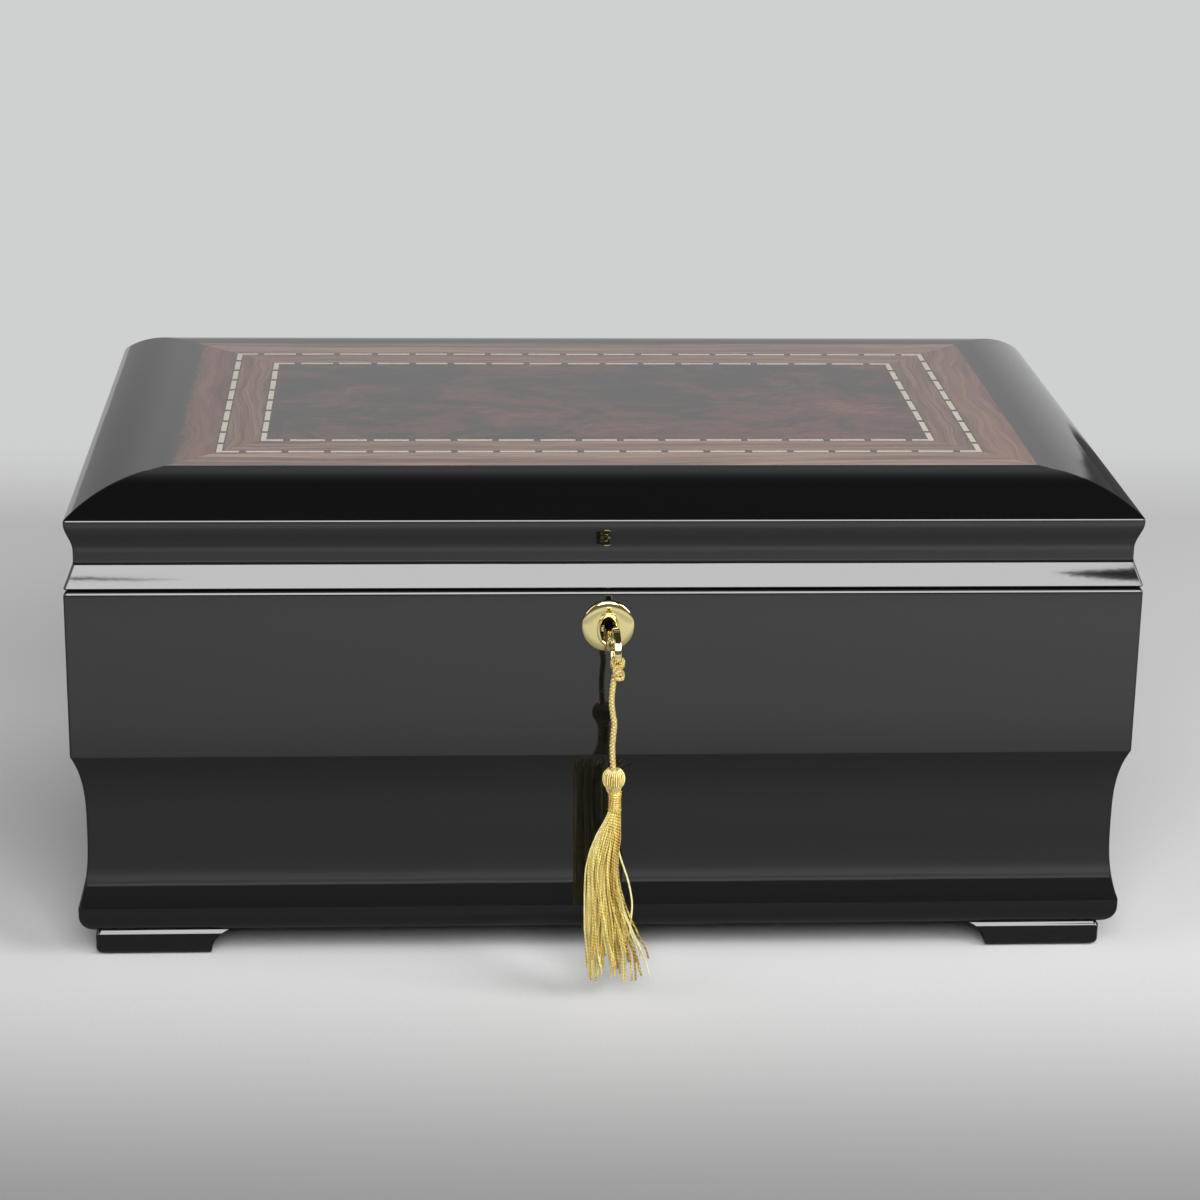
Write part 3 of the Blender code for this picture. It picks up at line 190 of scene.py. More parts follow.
class Finish:
    """A procedural material."""

    def __init__(self, name):
        self.material = bpy.data.materials.new(name)
        self.material.use_nodes = True
        self.tree = self.material.node_tree
        self.tree.nodes.clear()

    def node(self, kind, settings=None, inputs=None, output=0):
        return add_node(self.tree, 'ShaderNode' + kind, settings, inputs, output)

    def place(self, scale=(1, 1, 1), turn=(0, 0, 0), source='Object'):
        """Where a point lies on the piece, stretched or turned."""
        where = self.node('TexCoord', None, None, source)
        return self.node('Mapping', None, {0: where, 2: turn, 3: scale})

    def axes(self, where):
        """The three numbers of a place."""
        first = self.node('SeparateXYZ', None, {0: where})
        return first, first.other('Y'), first.other('Z')

    def marked(self, name):
        """A number that the mesh carries."""
        return self.node('Attribute', {"attribute_name": name}, None, 2)

    def noise(self, where, scale, detail, rough=0.5, bend=0.0):
        return self.node('TexNoise', None, {"Vector": where, "Scale": scale, "Detail": detail,
                                            "Roughness": rough, "Distortion": bend})

    def stretched(self, stretch, detail=3.0, rough=0.5, bend=0.0, turn=(0, 0, 0)):
        """Noise drawn out along the piece's axes."""
        return self.noise(self.place(stretch, turn), 1.0, detail, rough, bend)

    def drawn(self, x, y, z, detail, rough=0.5, bend=0.0):
        """Noise at a place worked out from its three numbers."""
        where = self.node('CombineXYZ', None, {0: x, 1: y, 2: z})
        return self.noise(where, 1.0, detail, rough, bend)

    def cells(self, stretch):
        return self.node('TexVoronoi', None, {"Vector": self.place(stretch), "Scale": 1.0})

    def ramp(self, factor, *stops):
        return self.node('ValToRGB', {"stops": stops}, {0: factor})

    def blend(self, factor, low, high, how='MIX'):
        return self.node('Mix', {"data_type": 'RGBA', "blend_type": how},
                         {0: factor, 6: low, 7: high}, 2)

    def bump(self, height, strength, distance):
        return self.node('Bump', None, {"Height": height, "Strength": strength,
                                        "Distance": distance})

    def surface(self, inputs):
        """Principled shader with these sockets, on the material's output."""
        return self.show(self.node('BsdfPrincipled', None, inputs))

    def lacquered(self, base, haze, swell=0.0, peel=0.0):
        """Polished polyester lacquer over a colour, with slow waves and orange peel in it."""
        sockets = {"Base Color": base, "Roughness": LACQUER_ROUGHNESS + haze,
                   "IOR": LACQUER_IOR}
        if swell:
            waves = self.noise(self.place(), 16, 1)
            if peel:
                waves = waves + self.noise(self.place(), 170, 2) * peel
            sockets["Normal"] = self.bump(waves, 1.0, swell)
        return self.surface(sockets)

    def show(self, shader):
        self.node('OutputMaterial', None, {0: shader})
        return self.material


def black_lacquer():
    """Deep black polyester lacquer, polished, with a trace of dust in it."""
    f = Finish("black_lacquer")
    dust = f.noise(f.place(), 900, 2).step(0.72, 0.80)
    return f.lacquered((0.0036, 0.0034, 0.0034), dust * 0.05, 0.00014, 0.03)


def grain(f, where, colours, vein, figure, coarse):
    """Timber whose grain runs along the place's first number: its colour, and its height."""
    along, across, deep = f.axes(where)
    drift = f.drawn(along * 8, across * 15, deep * 15, 3)
    sway = across + (drift - 0.5) * (figure * 0.03)
    broad = f.drawn(along * 4, sway * (85 * coarse), deep * 85, 5, 0.62)
    middling = f.drawn(along * 9, sway * (300 * coarse), deep * 300, 4, 0.62, 0.4)
    fine = f.drawn(along * 18, sway * (900 * coarse), deep * 900, 5, 0.62)
    ridge = (f.drawn(along * 2.5, sway * (60 * coarse), deep * 60, 2) * 9.0).wave().size()
    veins = (1 - ridge.step(0.0, 0.16)) * broad.step(0.38, 0.60)
    pore = f.drawn(along * 55, across * 2400, deep * 2400, 2).step(0.58, 0.72)
    dark, middle, light = colours
    base = f.ramp(broad * 0.36 + middling * 0.34 + fine * 0.30,
                  (0.40, dark), (0.49, middle), (0.57, light))
    base = f.blend(veins * 0.80, base, vein)
    base = f.blend(pore * 0.35, base, vein)
    return base, fine * 0.5 + pore * 0.5


def band_veneer():
    """Figured veneer of the bands: straight on the long sides, wild and redder on the short."""
    f = Finish("band_veneer")
    tone, edge = f.marked('tone'), f.marked('edge')
    where = f.place(source='UV')
    colours = (0.080, 0.034, 0.024), (0.245, 0.135, 0.092), (0.400, 0.262, 0.185)
    base, height = grain(f, where, colours, (0.035, 0.015, 0.012), tone * 1.5 + 0.35, 0.9)
    base = f.blend(tone, base, (0.46, 0.26, 0.22), 'MULTIPLY')
    margin = (edge - f.noise(where, 150, 8, 0.80) * 0.0150 + 0.0052).step(0.0, 0.0030)
    base = f.blend((1 - margin) * tone.step(0.76, 0.84), base, (0.012, 0.008, 0.007))
    return f.lacquered(base, height * 0.02, 0.00010)


def burl_veneer():
    """Dark red burl: mottled clouds of warm brown in near black, with tight curls and eyes."""
    f = Finish("burl_veneer")
    patches = f.stretched((8, 11, 11), 3, 0.55, turn=(0, 0, 0.3))
    clouds = f.stretched((24, 38, 38), 10, 0.74, 0.9, (0, 0, 0.18))
    mottle = f.stretched((220, 420, 420), 5, 0.75)
    curls = (clouds * 46 + patches * 18).wave() * 0.5 + 0.5
    eyes = f.cells((95, 123.5, 123.5)).step(0.05, 0.30)
    eye_zone = f.noise(f.place(), 22, 2).step(0.50, 0.66)
    tone = patches * 0.32 + clouds * 0.46 + mottle * 0.20 + curls * 0.02
    base = f.ramp(tone, (0.43, (0.010, 0.008, 0.008)), (0.49, (0.026, 0.013, 0.011)),
                  (0.53, (0.085, 0.028, 0.021)), (0.58, (0.150, 0.052, 0.036)),
                  (0.65, (0.250, 0.115, 0.072)))
    base = f.blend((1 - eyes) * eye_zone * 0.7, base, (0.016, 0.008, 0.007))
    return f.lacquered(base, curls * 0.01, 0.00010)


def slip_wood(name, stretch, *stops):
    """Slips of the stringing, pale maple or dyed, under lacquer."""
    f = Finish(name)
    fibre = f.stretched(stretch)
    return f.lacquered(f.ramp(fibre, *stops), fibre * 0.01)


def cedar(name, turn):
    """Unfinished cedar lining, its grain along the board that turn lays it on."""
    f = Finish(name)
    colours = (0.33, 0.140, 0.065), (0.43, 0.205, 0.10), (0.52, 0.27, 0.14)
    base, height = grain(f, f.place(turn=turn), colours, (0.22, 0.085, 0.040), 0.35, 0.40)
    return f.surface({"Base Color": base, "Roughness": 0.55 + height * 0.2,
                      "Normal": f.bump(height, 0.25, 0.00015)})


def polished_brass(name, colour, rough):
    """Brass with fine polishing lines and a little tarnish in patches."""
    f = Finish(name)
    lines = f.stretched((2600, 300, 2600), 2)
    haze = f.noise(f.place(), 160, 3).step(0.52, 0.72)
    base = f.blend(haze * 0.35, colour, tuple(c * 0.80 for c in colour))
    return f.surface({"Base Color": base, "Metallic": 1.0,
                      "Roughness": rough + lines * 0.04 + haze * 0.05,
                      "Normal": f.bump(lines, 0.04, 0.00005)})


def flecked(name, pattern, colours, rough, gloss_drift=0.0, relief=None, more=None):
    """A finish of one or two tones by a fine pattern, which may mark its gloss and relief.

    The pattern is (stretch, detail, roughness) of a noise, or the stretch of cells alone."""
    f = Finish(name)
    fleck = f.stretched(*pattern) if len(pattern) == 3 else f.cells(pattern[0])
    base = f.ramp(fleck, *colours) if len(colours) == 2 else colours
    sockets = {"Base Color": base, "Roughness": rough, **(more or {})}
    if gloss_drift:
        sockets["Roughness"] = rough + fleck * gloss_drift
    if relief:
        sockets["Normal"] = f.bump(fleck, *relief)
    return f.surface(sockets)


def window_glass():
    """Clear glass of the gauge."""
    f = Finish("gauge_glass")
    clear = f.node('BsdfTransparent', None, {0: (0.97, 0.985, 0.975)})
    gloss = f.node('BsdfGlossy', None, {"Color": (1, 1, 1), "Roughness": 0.03})
    mirror = f.node('Fresnel', None, {0: 1.45}) + f.noise(f.place(), 120, 2) * 0.01
    return f.show(f.node('MixShader', None, {0: mirror, 1: clear, 2: gloss}))


def gold_thread(name, fine, colours, twist=1.0, pale_ends=False, lift=-0.05):
    """Gold rayon and metal thread: slanting plies, with painted highlight and shade across them,
    painted shade in grooves, paler at cut ends.
    """
    f = Finish(name)
    x, y, z = f.axes(f.place())
    fibre = f.stretched(fine, 3, 0.6)
    tuft = f.stretched((420, 420, 24), 2)
    hollow, strand = f.marked('hollow'), f.marked('strand')
    # plies paints a highlight on each slanting ply and shade between them; hollow paints shade in
    # the grooves of a laid cord and between the head's ribs
    plies = (z * 4300 + (x + y) * 3400 + strand * 40).wave() * (0.5 * twist) + 0.5
    tone_and_painted_shade = fibre * 0.44 + tuft * 0.30 + plies * 0.16 + strand * 0.34 - hollow * 0.45 + lift
    dark, middle, light = colours
    base = f.ramp(tone_and_painted_shade, (0.34, dark), (0.48, middle), (0.64, light))
    if pale_ends:
        ends = (1 - z.step(0.010, 0.042)) * (fibre * 0.4 + strand * 0.7).step(0.50, 0.80)
        base = f.blend(ends * 0.75, base, (0.90, 0.84, 0.64))
    return f.surface({"Base Color": base, "Roughness": 0.20 + fibre * 0.14, "Metallic": 0.15,
                      "Specular IOR Level": 1.0,
                      "Normal": f.bump(plies * 0.8 + fibre * 0.4, 0.8, 0.00022)})


LACQUER = black_lacquer()
BAND = band_veneer()
BURL = burl_veneer()
CREAM = slip_wood("cream_stringing", (120, 900, 900),
                  (0.30, (0.60, 0.52, 0.41)), (0.65, (0.76, 0.68, 0.56)))
DARK_SLIP = slip_wood("dark_stringing", (300, 300, 300),
                      (0.35, (0.020, 0.013, 0.010)), (0.65, (0.048, 0.030, 0.022)))
CEDAR_X = cedar("cedar_along", (0, 0, 0))
CEDAR_Y = cedar("cedar_across", (0, 0, math.pi / 2))
BRASS = polished_brass("satin_brass", (0.88, 0.66, 0.29), 0.14)
BRIGHT_BRASS = polished_brass("polished_brass", (1.0, 0.87, 0.42), 0.055)
STEEL = flecked("drawn_steel", ((200, 3000, 3000), 3, 0.5),
                ((0.3, (0.40, 0.40, 0.41)), (0.7, (0.58, 0.58, 0.59))), 0.28, 0.14,
                more={"Metallic": 1.0})
FELT = flecked("felt", ((2600, 2600, 2600), 4, 0.7),
               ((0.3, (0.012, 0.035, 0.020)), (0.7, (0.045, 0.105, 0.065))), 0.95,
               relief=(0.6, 0.0002), more={"Sheen Weight": 0.4})
PLASTIC = flecked("black_plastic", ((1800, 1800, 1800),), (0.017, 0.017, 0.019), 0.38, 0.12,
                  relief=(0.12, 0.00008))
FOAM = flecked("humidifier_foam", ((900, 900, 900),),
               ((0.1, (0.10, 0.17, 0.09)), (0.6, (0.24, 0.34, 0.20))), 0.9,
               relief=(0.7, 0.0004))
PAPER = flecked("dial_paper", ((1500, 1500, 1500), 3, 0.5),
                ((0.3, (0.80, 0.78, 0.71)), (0.7, (0.86, 0.85, 0.79))), 0.5)
INK = flecked("dial_ink", ((4000, 4000, 4000), 2, 0.5), ((0.3, 0.012), (0.7, 0.022)), 0.45)
GLASS = window_glass()
CORD_THREAD = gold_thread("gold_cord", (2500, 2500, 900),
                          ((0.56, 0.42, 0.12), (1.0, 0.90, 0.46), (1.0, 0.98, 0.72)))
HEAD_THREAD = gold_thread("gold_head", (2600, 2600, 120),
                          ((0.34, 0.19, 0.02), (1.0, 0.83, 0.30), (1.0, 0.95, 0.52)),
                          0.0, lift=0.05)
NECK_THREAD = gold_thread("gold_neck", (240, 240, 3600),
                          ((0.34, 0.18, 0.015), (1.0, 0.76, 0.21), (1.0, 0.93, 0.46)),
                          0.0, lift=0.06)
TUFT_THREAD = gold_thread("gold_tuft", (2200, 2200, 60),
                          ((0.20, 0.095, 0.004), (0.80, 0.59, 0.125), (1.0, 0.95, 0.46)),
                          0.8, True)


# ---------------- mesh making

def between(low, high, steps):
    """Evenly spaced values from low to high."""
    return [low + (high - low) * k / steps for k in range(steps + 1)]


def sweep(x, z, wide, tall, start, stop, steps):
    """Points of a round or oval arc, between two angles about its middle."""
    return [(x + wide * math.cos(a), z + tall * math.sin(a)) for a in between(start, stop, steps)]


def smooth_step(share):
    """A smooth step from 0 to 1."""
    return (1 - math.cos(math.pi * min(max(share, 0), 1))) / 2


def shaded(mesh, angle):
    """Smooth shading with edges sharper than angle kept crisp."""
    mesh.shade_smooth()
    mesh.set_sharp_from_angle(angle=math.radians(angle))
    return mesh


def add_piece(name, mesh, finish, even=False):
    """A piece whose place is in its mesh, its shading evened over broad faces where asked."""
    made = put(name, mesh)
    mesh.materials.clear()
    mesh.materials.append(finish)
    if even:
        weigh = made.modifiers.new("even_shading", 'WEIGHTED_NORMAL')
        weigh.keep_sharp = True
        weigh.weight = 50
    return made


def fit(piece, body, slot=None, *nodes):
    """Fix a piece to its body, and hide the CAD nodes that it stands for; slot is not used."""
    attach(piece, body)
    if nodes:
        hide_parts(*nodes)


def mesh_of(bm, name, angle=30, merge=0.0):
    """Turn a bmesh into a mesh, closed and facing outwards."""
    if merge:
        bmesh.ops.remove_doubles(bm, verts=bm.verts, dist=merge)
    bmesh.ops.recalc_face_normals(bm, faces=bm.faces)
    mesh = bpy.data.meshes.new(name)
    bm.to_mesh(mesh)
    bm.free()
    return shaded(mesh, angle)


def settled(thing, name=None):
    """The mesh that an object shows, as a plain mesh; the object goes."""
    bpy.context.view_layer.update()
    graph = bpy.context.evaluated_depsgraph_get()
    mesh = bpy.data.meshes.new_from_object(thing.evaluated_get(graph))
    mesh.name = name or thing.name
    bpy.data.objects.remove(thing, do_unlink=True)
    return mesh


def carve(mesh, cutters, angle=30):
    """Take cutter meshes out of a mesh."""
    work = put("work", mesh)
    tools = [put("tool", cutter) for cutter in cutters]
    for tool in tools:
        cut = work.modifiers.new("cut", 'BOOLEAN')
        cut.operation, cut.solver, cut.object = 'DIFFERENCE', 'EXACT', tool
    made = settled(work, mesh.name)
    for tool in tools:
        bpy.data.objects.remove(tool, do_unlink=True)
    return shaded(made, angle)


def block(low, high):
    """A box between two corners, in the box's own frame."""
    bm = bmesh.new()
    bmesh.ops.create_cube(bm, size=1)
    low, high = Vector(low), Vector(high)
    bmesh.ops.scale(bm, vec=high - low, verts=bm.verts)
    bmesh.ops.translate(bm, vec=(low + high) / 2 + HOME, verts=bm.verts)
    return mesh_of(bm, "block")


def stand(bm, centre, direction):
    """Turn a shape made upright to a direction, and put it in the box's own frame."""
    turn = Vector((0, 0, 1)).rotation_difference(Vector(direction)).to_matrix().to_4x4()
    bmesh.ops.transform(bm, verts=bm.verts,
                        matrix=Matrix.Translation(Vector(centre) + HOME) @ turn)
    return bm


def rod(start, end, radius):
    """A round bar from start to end, in the box's own frame."""
    start, end = Vector(start), Vector(end)
    bm = bmesh.new()
    bmesh.ops.create_cone(bm, cap_ends=True, segments=32, radius1=radius, radius2=radius,
                          depth=(end - start).length)
    return mesh_of(stand(bm, (start + end) / 2, end - start), "rod")


def skin(bm, rings, ends):
    """Faces between rings of points; their ends are joined, capped or left as they are."""
    pairs = list(zip(rings, rings[1:]))
    if ends == "joined":
        pairs.append((rings[-1], rings[0]))
    for lower, upper in pairs:
        for k in range(len(lower)):
            bm.faces.new((lower[k], lower[k - 1], upper[k - 1], upper[k]))
    if ends == "capped":
        bm.faces.new(rings[0])
        bm.faces.new(rings[-1])


def rounded_ring(inset, level, radius):
    """Points round the box at one inset from the lip, with rounded corners."""
    x, y = HALF_X - inset - radius, HALF_Y - inset - radius
    points = []
    for k, (sx, sy) in enumerate(((1, 1), (-1, 1), (-1, -1), (1, -1))):
        corner = between(math.pi / 2 * k, math.pi / 2 * (k + 1), 6)
        points += [(sx * x + radius * math.cos(a), sy * y + radius * math.sin(a) + BOX_Y, level)
                   for a in corner]
    return points


def loft(name, levels, ends):
    """A skin through rings given as (inset, level, corner radius)."""
    bm = bmesh.new()
    skin(bm, [[bm.verts.new(p) for p in rounded_ring(*level)] for level in levels], ends)
    return mesh_of(bm, name, 20)


POLE = 1e-7


def lathe(profile, centre, direction, steps, ribs=0, depth=0.0):
    """Turn a profile of (radius, height) about a direction, with ribs round it where asked."""
    bm = bmesh.new()
    rings = []
    for radius, height in profile:
        ring = []
        for k in range(steps):
            angle = 2 * math.pi * k / steps
            r = radius * (1 + depth * math.cos(ribs * angle))
            ring.append(bm.verts.new((r * math.cos(angle), r * math.sin(angle), height)))
        rings.append(ring)
    skin(bm, rings, "as they are")
    return stand(bm, centre, direction)


def turned(name, profile, centre, direction, steps, angle=35):
    """A turned solid as a mesh."""
    return mesh_of(lathe(profile, centre, direction, steps), name, angle, POLE)


def plate(name, loop, thick, place):
    """A plate cut to an outline in its own plane, then put in place."""
    curve = bpy.data.curves.new(name, 'CURVE')
    curve.dimensions = '2D'
    curve.fill_mode = 'BOTH'
    curve.extrude = thick / 2
    spline = curve.splines.new('POLY')
    spline.points.add(len(loop) - 1)
    for point, (u, v) in zip(spline.points, loop):
        point.co = (u, v, 0, 1)
    spline.use_cyclic_u = True
    bm = bmesh.new()
    bm.from_mesh(settled(put(name, curve), name))
    bmesh.ops.transform(bm, matrix=Matrix.Translation(HOME) @ place, verts=bm.verts)
    return mesh_of(bm, name, 30, 1e-6)


def merged(name, meshes, angle=30):
    """Several meshes as one."""
    bm = bmesh.new()
    for mesh in meshes:
        bm.from_mesh(mesh)
    made = bpy.data.meshes.new(name)
    bm.to_mesh(made)
    bm.free()
    return shaded(made, angle)


FRONT_VIEW = Matrix(((1, 0, 0, 0), (0, 0, -1, 0), (0, 1, 0, 0), (0, 0, 0, 1)))
SIDE_VIEW = Matrix(((0, 0, 1, 0), (1, 0, 0, 0), (0, 1, 0, 0), (0, 0, 0, 1)))


def frames_along(points, closed):
    """A frame that doesn't twist at each point of a path."""
    points = [Vector(p) for p in points]
    count = len(points)
    ways = []
    for k in range(count):
        before = points[k - 1] if closed or k else points[0]
        after = points[(k + 1) % count] if closed or k < count - 1 else points[-1]
        ways.append((after - before).normalized())
    side = ways[0].orthogonal().normalized()
    frames = []
    for way in ways:
        side = (side - way * side.dot(way)).normalized()
        frames.append((side.copy(), way.cross(side)))
    return points, frames


def twisted_tube(name, points, radius, pitch, lobes=3, depth=0.16, sides=16, closed=False):
    """A laid cord: a tube whose lobed section turns along its path."""
    points, frames = frames_along(points, closed)
    bm = bmesh.new()
    hollow = bm.verts.layers.float.new("hollow")
    rings, run = [], 0.0
    for k, (point, (side, up)) in enumerate(zip(points, frames)):
        if k:
            run += (point - points[k - 1]).length
        ring = []
        for j in range(sides):
            angle = 2 * math.pi * j / sides
            lobe = abs(math.cos((angle - 2 * math.pi * run / pitch) * lobes / 2))
            r = radius * (1 - depth * 1.6 + depth * 1.6 * lobe ** 0.6)
            ring.append(bm.verts.new(point + (side * math.cos(angle) + up * math.sin(angle)) * r))
            # hollow is high in the grooves between lobes, where the thread's finish paints shade
            ring[-1][hollow] = (1 - lobe) ** 1.5
        rings.append(ring)
    skin(bm, rings, "joined" if closed else "capped")
    return mesh_of(bm, name, 60)


def curve_through(knots, steps):
    """A smooth line through knots (Catmull-Rom)."""
    knots = [Vector(k) for k in knots]
    padded = [knots[0] * 2 - knots[1]] + knots + [knots[-1] * 2 - knots[-2]]
    line = []
    for k in range(1, len(padded) - 2):
        a, b, c, d = padded[k - 1:k + 3]
        for step in range(steps):
            t = step / steps
            line.append(0.5 * ((2 * b) + (c - a) * t + (2 * a - 5 * b + 4 * c - d) * t ** 2
                               + (3 * b - a - 3 * c + d) * t ** 3))
    line.append(knots[-1])
    return line


# ---------------- repeating pieces

def geometry_tree(name, inputs):
    """A geometry tree with named inputs; returns the tree, its inputs and a way to end it."""
    tree = bpy.data.node_groups.new(name, 'GeometryNodeTree')
    tree.interface.new_socket("Geometry", in_out='INPUT', socket_type='NodeSocketGeometry')
    for label, (kind, value) in inputs.items():
        socket = tree.interface.new_socket(label, in_out='INPUT', socket_type='NodeSocket' + kind)
        if value is not None:
            socket.default_value = value
    tree.interface.new_socket("Geometry", in_out='OUTPUT', socket_type='NodeSocketGeometry')
    start = tree.nodes.new('NodeGroupInput')
    given = {socket.name: Value(tree, socket) for socket in start.outputs if socket.name}

    def end(shape):
        real = add_node(tree, 'GeometryNodeRealizeInstances', None, {0: shape})
        done = add_node(tree, 'GeometryNodeSetMaterial', None, {0: real, 2: given["Finish"]})
        add_node(tree, 'NodeGroupOutput', None, {0: done})

    return tree, given, end


def grown(tree, values, mesh=None, name="grown"):
    """The plain mesh that a geometry tree makes with these inputs."""
    base = put(name, mesh or bpy.data.meshes.new(name))
    grow = base.modifiers.new("grow", 'NODES')
    grow.node_group = tree
    for item in tree.interface.items_tree:
        if item.in_out == 'INPUT' and item.name in values:
            grow[item.identifier] = values[item.name]
    return settled(base, name)


def row_tree():
    """A row of equal slips: a line of points, a slip on each."""
    tree, given, end = geometry_tree("row_of_slips", {
        "Count": ('Int', 3), "Pitch": ('Float', 0.01), "Length": ('Float', 0.008),
        "Width": ('Float', 0.002), "Thick": ('Float', 0.001), "Finish": ('Material', None)})
    start = (given["Count"] - 1) * given["Pitch"] * -0.5
    line = add_node(tree, 'GeometryNodeMeshLine', {"mode": 'OFFSET'}, {
        "Count": given["Count"],
        "Start Location": add_node(tree, 'ShaderNodeCombineXYZ', None, {0: start}),
        "Offset": add_node(tree, 'ShaderNodeCombineXYZ', None, {0: given["Pitch"]})})
    size = add_node(tree, 'ShaderNodeCombineXYZ', None,
                    {0: given["Length"], 1: given["Width"], 2: given["Thick"]})
    slip = add_node(tree, 'GeometryNodeMeshCube', None, {"Size": size})
    end(add_node(tree, 'GeometryNodeInstanceOnPoints', None, {"Points": line, "Instance": slip}))
    return tree


def copies_tree():
    """Copies of one piece on points, each turned a step further than the last."""
    tree, given, end = geometry_tree("copies_on_points", {
        "Piece": ('Object', None), "Turn Step": ('Float', 1.1), "Finish": ('Material', None)})
    piece = add_node(tree, 'GeometryNodeObjectInfo', None, {0: given["Piece"]}, 'Geometry')
    number = add_node(tree, 'GeometryNodeInputIndex')
    turn = add_node(tree, 'ShaderNodeCombineXYZ', None, {2: number * given["Turn Step"]})
    end(add_node(tree, 'GeometryNodeInstanceOnPoints', None,
                 {"Points": given["Geometry"], "Instance": piece, "Rotation": turn}))
    return tree


def threads_tree():
    """Round threads along lines."""
    tree, given, end = geometry_tree("threads_on_lines", {
        "Thickness": ('Float', 0.0008), "Sides": ('Int', 6), "Finish": ('Material', None)})
    lines = add_node(tree, 'GeometryNodeMeshToCurve', None, {0: given["Geometry"]})
    ring = add_node(tree, 'GeometryNodeCurvePrimitiveCircle', None,
                    {"Resolution": given["Sides"], "Radius": given["Thickness"] * 0.5})
    tube = add_node(tree, 'GeometryNodeCurveToMesh', None,
                    {"Curve": lines, "Profile Curve": ring, "Fill Caps": True})
    end(add_node(tree, 'GeometryNodeSetShadeSmooth', None, {0: tube}))
    return tree


ROWS = row_tree()
COPIES = copies_tree()
THREADS = threads_tree()


def lines_mesh(lines, name):
    """Polylines as one mesh of edges, each with a shade of its own."""
    points, edges, shades = [], [], []
    for number, line in enumerate(lines):
        first = len(points)
        points += [tuple(p) for p in line]
        edges += [(first + k, first + k + 1) for k in range(len(line) - 1)]
        shades += [number * 0.618034 % 1] * len(line)
    mesh = bpy.data.meshes.new(name)
    mesh.from_pydata(points, edges, [])
    mesh.attributes.new("strand", 'FLOAT', 'POINT').data.foreach_set("value", shades)
    return mesh


# ---------------- tassel

CORD_RADIUS = 0.00130
HEAD_TOP = 0.1046
HEAD_LOW = 0.0945
NECK_LOW = 0.0866


def at(x, z, forward=0.0):
    """A point of the tassel: x and z as seen from the front, in the world's frame."""
    return Vector((x, TASSEL_Y + BOX_Y + forward, z))


# Points that the cord runs through, from the knot down
CORD_KNOTS = ((0.0012, 0.1480), (0.0003, 0.1450), (-0.0003, 0.1400), (-0.0005, 0.1340),
              (0.0001, 0.1290), (0.0007, 0.1250), (0.0004, 0.1205), (0.0001, 0.1150),
              (0.0003, 0.1095), (0.0007, 0.1040), (0.0011, 0.0985), (0.0015, 0.0900),
              (0.0009, 0.0820), (-0.0014, 0.0740), (-0.0030, 0.0660), (-0.0034, 0.0560))


def make_cord():
    """The laid gold cord, from the knot at the bow through the tassel's head into its tuft."""
    path = curve_through([at(x, z) for x, z in CORD_KNOTS], 14)
    mesh = twisted_tube("tassel_cord", path, CORD_RADIUS, 0.0054, 3, 0.24, 24)
    return add_piece("tassel_cord_laid", mesh, CORD_THREAD), path


def heart_head():
    """The tassel's head: yarn folded over a core, dimpled on top, bound at the neck."""
    top, low, ribs = HEAD_TOP, HEAD_LOW, 28
    tall = top - low
    profile = [(0.0, top - 0.0018), (0.0009, top - 0.0014), (0.0016, top - 0.0004), (0.0025, top)]
    profile += [(0.0046 * math.sin(a) ** 0.8, top - tall * 0.42 + tall * 0.44 * math.cos(a))
                for a in between(0.66, 2.40, 14)]
    profile += [(0.0027, low + 0.0006), (0.0023, low - 0.0002), (0.0, low - 0.0002)]
    bm = lathe(profile, -HOME, (0, 0, 1), 7 * ribs, ribs, 0.045)
    hollow = bm.verts.layers.float.new("hollow")
    for vert in bm.verts:
        angle = math.atan2(vert.co.y, vert.co.x)
        out = math.hypot(vert.co.x, vert.co.y)
        # hollow is high in the grooves between ribs, where the thread's finish paints shade
        vert[hollow] = (0.5 - 0.5 * math.cos(ribs * angle)) ** 3
        if vert.co.z > top - 0.003:
            vert.co.z += 0.0006 * abs(math.cos(angle)) * min(1, out / 0.003)
        vert.co.y *= 0.88
    bmesh.ops.translate(bm, vec=at(0.0009, 0), verts=bm.verts)
    return mesh_of(bm, "tassel_head_yarn", 60, POLE)


def neck_windings():
    """Thread wound flat round the neck."""
    turns, steps = 8, 40
    pitch = (HEAD_LOW + 0.0002 - NECK_LOW) / turns
    path = []
    for k in range(turns * steps + 1):
        angle = 2 * math.pi * k / steps
        swell = 1 + 0.10 * abs(2 * k / (turns * steps) - 1) ** 2
        path.append(at(0.0015 + 0.00222 * swell * math.cos(angle), HEAD_LOW - pitch * (k / steps),
                       0.0019 * swell * math.sin(angle)))
    wound = twisted_tube("neck_windings", path, pitch * 0.52, 0.0022, 2, 0.0, 10)
    core = turned("neck_core", [(0, HEAD_LOW), (0.0020, HEAD_LOW), (0.0020, NECK_LOW - 0.0003),
                                (0, NECK_LOW - 0.0003)], (0.0015, TASSEL_Y, 0), (0, 0, 1), 24)
    return merged("tassel_neck_windings", [wound, core], 50)


# The tuft from its neck down: height, sideways middle, half width
TUFT_SHAPE = ((0.0875, 0.0016, 0.0020), (0.0840, 0.0012, 0.0028), (0.0735, -0.0014, 0.0054),
              (0.0666, -0.0028, 0.0061), (0.0592, -0.0034, 0.0066), (0.0520, -0.0029, 0.0072),
              (0.0445, -0.0021, 0.0081), (0.0375, -0.0011, 0.0094), (0.0300, -0.0003, 0.0108),
              (0.0225, 0.0008, 0.0124), (0.0150, 0.0012, 0.0130), (-0.0010, 0.0010, 0.0134))


